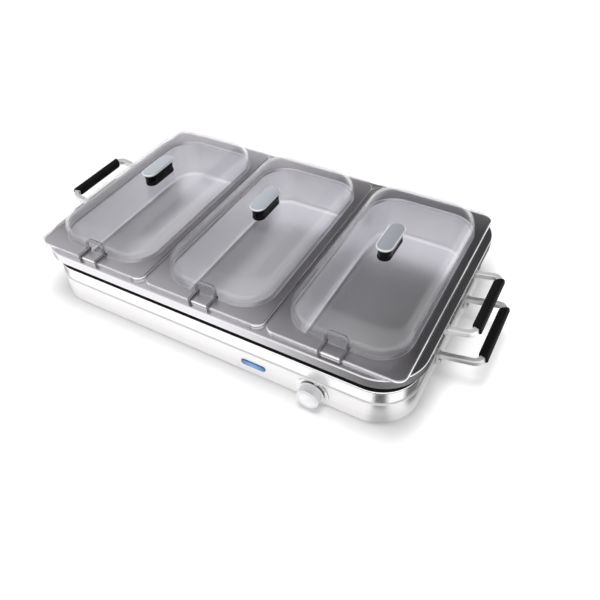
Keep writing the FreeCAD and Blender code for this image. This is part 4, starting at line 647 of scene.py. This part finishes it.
# %% [markdown]
# ## Control knob
#
# The knob is turned: a profile spun about its shaft. Its grip has a shallow index groove and fine
# ridges, which a plain spin can't give, so the radius dips where the angle is close to the top and
# follows a small wave all round.

# %% The knob
knob_low, knob_high = measured("control_knob")
KNOB_X, KNOB_Z = (knob_low[0] + knob_high[0]) / 2, (knob_low[2] + knob_high[2]) / 2
KNOB_FACE, KNOB_BACK = knob_low[1], knob_high[1]
TURN_STEPS, RIDGES = 288, 72
SIDE_RADII, RIDGED_FROM = (11.5, 15.2), 14.0
GROOVE_HALF, GROOVE_SLOPE = math.radians(3.2), math.radians(1.2)


def turned_points(path, groove=0.0, ridges=0.0):
    """Points (row, angle, xyz) of a profile (radius, y) spun about the knob's shaft.

    On the side of the grip, the radius loses groove millimetres close to the top, and up to ridges
    millimetres along a wave that runs round it.
    """
    turn = np.linspace(0, 2 * math.pi, TURN_STEPS, endpoint=False)
    radius, y = path[:, 0, None], path[:, 1, None]
    off_top = np.abs((turn - math.pi / 2 + math.pi) % (2 * math.pi) - math.pi)
    dip = groove * np.clip((GROOVE_HALF - off_top) / GROOVE_SLOPE, 0, 1)
    wave = ridges * (0.5 - 0.5 * np.cos(turn * RIDGES)) * (radius > RIDGED_FROM)
    on_side = (radius > SIDE_RADII[0]) * (radius < SIDE_RADII[1])
    radius = np.maximum(radius - np.maximum(dip, wave) * on_side, 0)
    x = KNOB_X + radius * np.cos(turn)
    z = KNOB_Z + radius * np.sin(turn)
    return np.stack([x, np.broadcast_to(y, x.shape), z], -1)


knob_profile = rounded_profile([
    (9.0, KNOB_BACK, 0.0), (16.5, KNOB_BACK, 0.4), (16.5, KNOB_BACK - 2.6, 0.7),
    (15.0, KNOB_BACK - 2.9, 0.4), (14.8, KNOB_FACE + 2.4, 0.5), (12.7, KNOB_FACE, 0.5),
    (11.2, KNOB_FACE, 0.2), (11.1, KNOB_FACE + 0.7, 0.2), (4.0, KNOB_FACE + 0.7, 0.0)], closed=False)


def knob_finish():
    """Silver paint, with the thin back edge of the skirt painted dark: a painted shadow of the gap against
    the dial ring.
    """
    finish = Finish("knob_side", Metallic=0.85)
    fine = finish.noise((2500, 2500, 2500), 2.0, 0.7)
    # painted shadow: the back edge rows take a near-black colour
    finish.feed("Base Color", finish.mix(finish.zone(), tone(*KNOB_SILVER), tone(0.05, 0.05, 0.055)))
    finish.feed("Roughness", 0.34 + 0.12 * (fine - 0.5))
    finish.feed("Normal", finish.bump(fine, 0.00001, 0.5))
    return finish.material


# painted shadow: the back millimetre of the skirt, against the dial ring, is coloured dark
gap_shadow_rows = (knob_profile[:, 1] > KNOB_BACK - 1.0) * 1.0
skin("knob_body", turned_points(knob_profile, groove=0.55, ridges=0.22), knob_finish(), "knob",
     ["control_knob"], closed=False, zones=gap_shadow_rows)
disc_profile = rounded_profile([
    (4.0, KNOB_FACE + 0.98, 0.0), (10.9, KNOB_FACE + 0.98, 0.1), (10.9, KNOB_FACE + 0.15, 0.3),
    (3.0, KNOB_FACE + 0.02, 0.0)], closed=False)
skin("knob_disc", turned_points(disc_profile), knob_paint, "knob", ["knob_cap"],
     closed=False)

# %% [markdown]
# ## Indicator window and dial ring
#
# The window is a pill with a soft edge: the same sweep as the pans, stood up to face the front. It
# glows softly, brightest in its middle. The dial ring behind the knob carries plain marks: short
# radial lines, worked out in the shader from the angle round the shaft.

# %% Window
window_low, window_high = measured("indicator_lens")
WINDOW_X, WINDOW_Z = (window_low[0] + window_high[0]) / 2, (window_low[2] + window_high[2]) / 2
WINDOW_FACE = window_low[1]
WINDOW = (18.0, 4.75, 4.70)
window_profile = rounded_profile([
    (-2.0, 3.6, 0.0), (-2.0, 1.6, 0.2), (0.0, 1.6, 0.2), (0.0, 0.35, 0.7), (1.6, 0.0, 0.8), (3.2, 0.0, 0.0)],
    closed=False)
flat = ring_points(outline_rows(*WINDOW, window_profile), (0.0, 0.0), steps=14, hold=0.4)
stood_up = np.stack([WINDOW_X + flat[..., 0], WINDOW_FACE + flat[..., 2], WINDOW_Z + flat[..., 1]], -1)


def window_finish():
    """Tinted plastic lit from behind: the glow fades with the distance from the window's middle."""
    finish = Finish("window_blue", Roughness=0.12, Coat_Weight=0.5, Emission_Strength=0.20)
    from_middle = finish.place((55, 0, 190), (WINDOW_X * MM, 0, WINDOW_Z * MM))
    grain = finish.noise((900, 900, 900), 2.0)
    glow = finish.length(from_middle).ramp(1.25, 0.1) * (0.9 + 0.2 * grain)
    finish.feed("Base Color", finish.mix(glow, tone(0.02, 0.08, 0.28), tone(0.10, 0.28, 0.58)))
    finish.feed("Emission Color", finish.mix(glow, tone(0.01, 0.06, 0.35), tone(0.20, 0.55, 1.0)))
    return finish.material


skin("indicator_window", stood_up, window_finish(), "base", ["indicator_lens"], closed=False)


# %% Dial marks
DIAL_MARKS = 24
MARKS_FROM, MARKS_TO = (0.0176, 0.0179), (0.0203, 0.0200)


def dial_finish():
    """Satin metal ring with darker radial lines: the angle, times the count, folded to a saw."""
    finish = Finish("dial_print", Metallic=1.0)
    across, _, upward = finish.axes(finish.place((1, 1, 1), (KNOB_X * MM, 0, KNOB_Z * MM)))
    angle = across.maths("ARCTAN2", across, upward)
    saw = angle.maths("FRACT", angle * (DIAL_MARKS / (2 * math.pi)) + 0.5)
    line = abs(saw - 0.5).ramp(0.07, 0.04)
    radius = (across * across + upward * upward) ** 0.5
    band = radius.ramp(*MARKS_FROM) * radius.ramp(*MARKS_TO)
    grain = finish.noise((1200, 1200, 1200), 2.0)
    plain = finish.mix(grain, tone(0.84, 0.84, 0.85), tone(0.88, 0.88, 0.89))
    finish.feed("Base Color", finish.mix(line * band, plain, tone(0.30, 0.30, 0.31)))
    finish.feed("Roughness", 0.34 + 0.1 * grain)
    return finish.material


dial_print = dial_finish()
print("dial marks:", DIAL_MARKS)

# %% [markdown]
# ## Grips
#
# Each grip is a soft-edged sleeve on the straight run of a bar, a little longer on its outer side.
# A box with a bevel would give hard, even ends. Here a round-cornered section runs along the grip,
# shrinks on a quarter circle at both ends, and every point's place along the grip is pushed out or
# in by its distance from the axis, which slants the ends as one would cut a sleeve.

# %% Four grips
GRIP, GRIP_END_R = (6.48, 6.0, 4.9), 2.6
GRIP_TILT = math.radians(12.0)
GRIP_SHORTER, GRIP_STRAIGHT, GRIP_SLANT = 3.0, 0.9, 6.0 / 13.0


def grip_points(node, side):
    """Points (row, place, xyz) of a grip: rows run from one end to the other."""
    low, high = measured(node)
    half_y = (high[1] - low[1]) / 2 - GRIP_SHORTER
    share = np.linspace(0, math.pi / 2, 9)
    inset = np.r_[GRIP_END_R * (1 - np.sin(share)), 0, 0, GRIP_END_R * (1 - np.cos(share))]
    along = np.r_[-half_y + GRIP_END_R * (1 - np.cos(share)), -half_y * GRIP_STRAIGHT, half_y * GRIP_STRAIGHT,
                  half_y - GRIP_END_R * (1 - np.sin(share))]
    section = np.column_stack([inset, np.zeros_like(inset)])
    flat = ring_points(outline_rows(*GRIP, section), (0, 0), steps=10, hold=0.3)
    across, upward = flat[..., 0], flat[..., 1]
    y = along[:, None] + np.sign(along)[:, None] * across * GRIP_SLANT
    centre = (low + high) / 2
    x = centre[0] + side * (across * math.cos(GRIP_TILT) - upward * math.sin(GRIP_TILT))
    z = centre[2] + across * math.sin(GRIP_TILT) + upward * math.cos(GRIP_TILT)
    points = np.stack([x, centre[1] + y, z], -1)
    return points if side < 0 else points[::-1]


for side, sign in (("left", -1), ("right", 1)):
    for carrier, body in (("frame", "carrier"), ("base", "base")):
        node = f"{carrier}_grip_{side}"
        skin(node + "_sleeve", grip_points(node, sign), grip_plastic, body, [node],
             closed=False)

# %% [markdown]
# ## Finishes for the solids that stay
#
# The frame, the lids, the bars and everything inside the base keep their solids. Each gets its
# finish by the name of its node. The solids arrive as loose triangles with good normals, so only
# their material slots are filled.

# %% Paint the kept solids
KEPT = {
    "carrier_frame": frame_satin, "bottom_cover": cover_zinc, "rubber_feet": foot_rubber,
    "foot_screws": screw_zinc, "cover_screws": screw_zinc, "warming_plate": plate_mill,
    "heating_element": element_dark, "element_clamps": screw_zinc, "clamp_screws": screw_zinc,
    "insulation_mat": mat_fibre, "heat_reflector": plate_mill, "thermostat_body": ceramic_white,
    "panel_nut": screw_zinc, "dial_ring": dial_print, "neon_lamp": lamp_glass, "lamp_clip": screw_zinc,
    "thermal_fuse": ceramic_white, "fuse_clip": screw_zinc, "terminal_block": ceramic_white,
    "terminal_screws": brass_bright, "live_leads": live_cover, "neutral_lead": neutral_cover,
    "earth_lead": earth_cover, "inlet_screws": screw_zinc, "inlet_plate": band_polish,
    "cord_grommet": foot_rubber, "thermostat_shaft": brass_bright, "frame_handle_screws": screw_zinc,
    "base_handle_screws": screw_zinc, "base_handle_nuts": screw_zinc}
for end in ("left", "right"):
    for carrier in ("frame", "base"):
        KEPT[f"{carrier}_bar_{end}"] = bar_bright
for side in PAN_MIDDLES:
    KEPT["lid_" + side] = lid_plastic
    KEPT["lid_fixing_" + side] = screw_zinc

for node, material in KEPT.items():
    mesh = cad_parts[node].data
    mesh.materials.clear()
    mesh.materials.append(material)
print("kept solids painted:", len(KEPT))

# %% [markdown]
# ## Studio
#
# A product on a pale table, lit by two soft lamps and an even sky. The floor is a plain pale sheet
# that keeps the soft shadow under the belt. A little glow, stronger far from the base and beside
# its right end, keeps the sheet white there. Seen directly, or in metal and glass, the sky is plain
# white; for the light itself it is dimmer, so a colour comes out about as it is written.
#
# Mirror-like rays also find a dark panel high behind the base, which keeps the flat rims from
# turning white, and a slightly dimmer sky towards the back.

# %% Floor and sky
FLOOR_RADIUS, FLOOR_SIDES = 4, 64
GLOW_NEAR, GLOW_RIGHT, GLOW_FAR, GLOW_MIRRORED = 0.14, 0.30, 0.75, 0.20
RIGHT_OF_BASE = (0.26, 0.33)

floor_turn = np.linspace(0, 2 * math.pi, FLOOR_SIDES, endpoint=False)
floor_rim = FLOOR_RADIUS * np.stack([np.cos(floor_turn), np.sin(floor_turn), 0 * floor_turn], -1)
floor_mesh = bpy.data.meshes.new("floor")
floor_mesh.from_pydata(floor_rim.tolist(), [], [list(range(FLOOR_SIDES))])
floor = bpy.data.objects.new("floor", floor_mesh)
bpy.context.scene.collection.objects.link(floor)

paper = Finish("floor_paper", Base_Color=tone(0.88, 0.88, 0.88), Roughness=0.9, Specular_IOR_Level=0.0,
               Emission_Strength=1.0)
camera_ray, glossy_ray, passing_ray = paper.rays()
seen = camera_ray.larger(glossy_ray.larger(passing_ray))
far = paper.length(paper.place((3.0, 4.6, 0.0))).ramp(1.0, 3.0)
beside = paper.axes(paper.place())[0].ramp(*RIGHT_OF_BASE)
glow = seen * (GLOW_NEAR + GLOW_RIGHT * beside + GLOW_FAR * far) + GLOW_MIRRORED * glossy_ray
paper.feed("Emission Color", paper.mix(glow, tone(0, 0, 0), tone(1, 1, 1)))
floor_mesh.materials.append(paper.material)


class Sky(Finish):
    """The world's nodes, built with the same helpers."""

    def __init__(self, name):
        self.world = bpy.data.worlds.new(name)
        self.world.use_nodes = True
        self.tree = self.world.node_tree
        self.shader = self.tree.nodes["Background"]
        self.shader.inputs["Color"].default_value = tone(1, 1, 1)


studio = Sky("studio")
bpy.context.scene.world = studio.world

PANEL_WAY, PANEL_EDGE, PANEL_DENSITY = (0.12, 0.72, 0.68), (0.80, 0.93), 0.90
BACK_DIM, LIGHT_SHARE = 0.35, 0.30

camera_ray, glossy_ray, passing_ray = studio.rays()
direction = studio.node("ShaderNodeTexCoord", out="Generated")
_, rearward, upward = studio.axes(direction)
panel_unit = (np.array(PANEL_WAY) / np.linalg.norm(PANEL_WAY)).tolist()
panel_cosine = studio.node("ShaderNodeVectorMath", {"operation": "DOT_PRODUCT"},
                           {0: direction, 1: panel_unit}, out="Value")
dark_panel = PANEL_DENSITY * panel_cosine.ramp(*PANEL_EDGE)
dim_back = BACK_DIM * upward.ramp(0.25, 0.65) * rearward.ramp(-0.2, 0.3)
straight = camera_ray.larger(passing_ray)
mirrored = glossy_ray * (1.0 - dim_back) * (1.0 - dark_panel)
lit = (1 - straight) * (1 - glossy_ray) * LIGHT_SHARE
studio.feed("Strength", straight + (1 - straight) * mirrored + lit)
print("floor and sky ready")

# %% [markdown]
# ## Dark flags
#
# Bright metal on white paper has nothing to show but white. In a studio, strips of black card beside
# it, hidden from the camera, let its curved corners catch dark streaks. One thin sheet close to the
# paper does the same here. Only mirror-like rays see it, and its pattern says how dense the card is:
# a strip in front, a narrow one at the right front corner, one along the right end, one behind and
# one at the left.

# %% One sheet of flags beside the base
FLAG_X, FLAG_Y, FLAG_Z = (-0.50, 0.55), (-0.50, 0.50), 0.001
DENSITY = {"front": 0.85, "corner": 0.98, "corner_foot": 0.40, "side": 0.90, "back": 0.60,
           "back_foot": 0.15, "left": 0.60}
STREAK_TURN = 27

flag_mesh = bpy.data.meshes.new("flags")
flag_corners = [(FLAG_X[i], FLAG_Y[j], FLAG_Z) for i, j in ((0, 0), (1, 0), (1, 1), (0, 1))]
flag_mesh.from_pydata(flag_corners, [], [(0, 1, 2, 3)])
flags = bpy.data.objects.new("flags", flag_mesh)
bpy.context.scene.collection.objects.link(flags)
for rays in ("camera", "diffuse", "transmission", "shadow", "volume_scatter"):
    setattr(flags, "visible_" + rays, False)


def strip(distance, rise, fall):
    """1 between two soft edges; each edge is the pair of places where it is 0 and where it is 1."""
    return distance.ramp(*rise) * distance.ramp(*fall)


card = Finish("flag_card", Base_Color=tone(0.02, 0.02, 0.02), Roughness=0.8, Specular_IOR_Level=0.0)
at_x, at_y, _ = card.millimetres()
corner_x, corner_y = belt_high[0] - BELT[2], belt_low[1] + BELT[2]
past_x = (at_x - corner_x).larger(0.0)
past_y = (corner_y - at_y).larger(0.0)
reach = (past_x * past_x + past_y * past_y) ** 0.5 - BELT[2]
off_streak = abs(past_x.maths("ARCTAN2", past_x, past_y) * (180 / math.pi) - STREAK_TURN)
past_back, past_left = at_y - belt_high[1], belt_low[0] - at_x
strips = [
    DENSITY["front"] * strip(reach, (44, 56), (130, 95)) * at_x.ramp(-60, 230),
    DENSITY["corner"] * strip(reach, (20, 26), (52, 44)) * off_streak.ramp(18, 6)
    + DENSITY["corner_foot"] * reach.ramp(22, 16) * off_streak.ramp(26, 6),
    DENSITY["side"] * strip(at_x, (281, 287), (345, 325)) * at_y.ramp(-140, -118),
    DENSITY["back"] * strip(past_back, (22, 34), (110, 60))
    + DENSITY["back_foot"] * strip(past_back, (0, 4), (22, 16)),
    DENSITY["left"] * strip(past_left, (8, 26), (110, 60)) * at_y.ramp(-190, -160)]
dense = strips[0]
for other in strips[1:]:
    dense = dense.larger(other)
open_air = card.node("ShaderNodeBsdfTransparent")
card.surface(card.blend(dense, open_air, card.principled()))
flag_mesh.materials.append(card.material)
print("flag strips:", len(strips))


# %% Lamps
def soft_lamp(name, place, target, side, power):
    """A square area lamp at a place, turned towards a target, in metres and watts.

    Mirror-like rays pass it by, so it leaves no bright square on the metal.
    """
    lamp = bpy.data.lights.new(name, "AREA")
    lamp.shape = "RECTANGLE"
    lamp.size = side
    lamp.size_y = side
    lamp.energy = power
    holder = bpy.data.objects.new(name, lamp)
    bpy.context.scene.collection.objects.link(holder)
    holder.rotation_mode = "QUATERNION"
    holder.rotation_quaternion = (Vector(target) - Vector(place)).to_track_quat("-Z", "Y")
    holder.location = place
    holder.visible_glossy = False
    print("lamp:", name, power, "W")


soft_lamp("key_lamp", place=(0.04, -0.08, 1.95), target=(0, 0, 0), side=0.8, power=27)
soft_lamp("fill_lamp", place=(-0.5, -1.6, 1.2), target=(0, 0, 0.05), side=0.9, power=6)

# %% [markdown]
# ## Camera
#
# The viewpoint is in front, to the right and well above. A camera is fully given by its place, the
# compass direction and dip of its view, a small roll, and its focal length. The rotation is built
# from these as three unit vectors: right, up and backwards are the columns of the matrix.

# %% Camera from place, direction, dip and roll
CAMERA_PLACE = (0.3766, BASE_Y * MM - 0.5572, 0.6200)
CAMERA_AZIMUTH, CAMERA_DIP, CAMERA_ROLL = (math.radians(value) for value in (30.642, 44.729, -2.454))
FOCAL_SHARE = 617.688 / 600
SENSOR = 36.0

ahead = np.array([-math.sin(CAMERA_AZIMUTH) * math.cos(CAMERA_DIP),
                  math.cos(CAMERA_AZIMUTH) * math.cos(CAMERA_DIP), -math.sin(CAMERA_DIP)])
level_right = np.cross(ahead, [0, 0, 1])
level_right /= np.linalg.norm(level_right)
level_up = np.cross(level_right, ahead)
right = math.cos(CAMERA_ROLL) * level_right + math.sin(CAMERA_ROLL) * level_up
up = np.cross(right, ahead)

lens = bpy.data.cameras.new("camera")
lens.sensor_width = SENSOR
lens.lens = FOCAL_SHARE * SENSOR
lens.clip_start = 0.01
camera = bpy.data.objects.new("camera", lens)
bpy.context.scene.collection.objects.link(camera)
turn = np.column_stack([right, up, -ahead])
camera.matrix_world = Matrix.Translation(CAMERA_PLACE) @ Matrix(turn.tolist()).to_4x4()
bpy.context.scene.camera = camera
bpy.context.scene.view_settings.view_transform = "Standard"
print("camera lens:", round(lens.lens, 2), "mm")
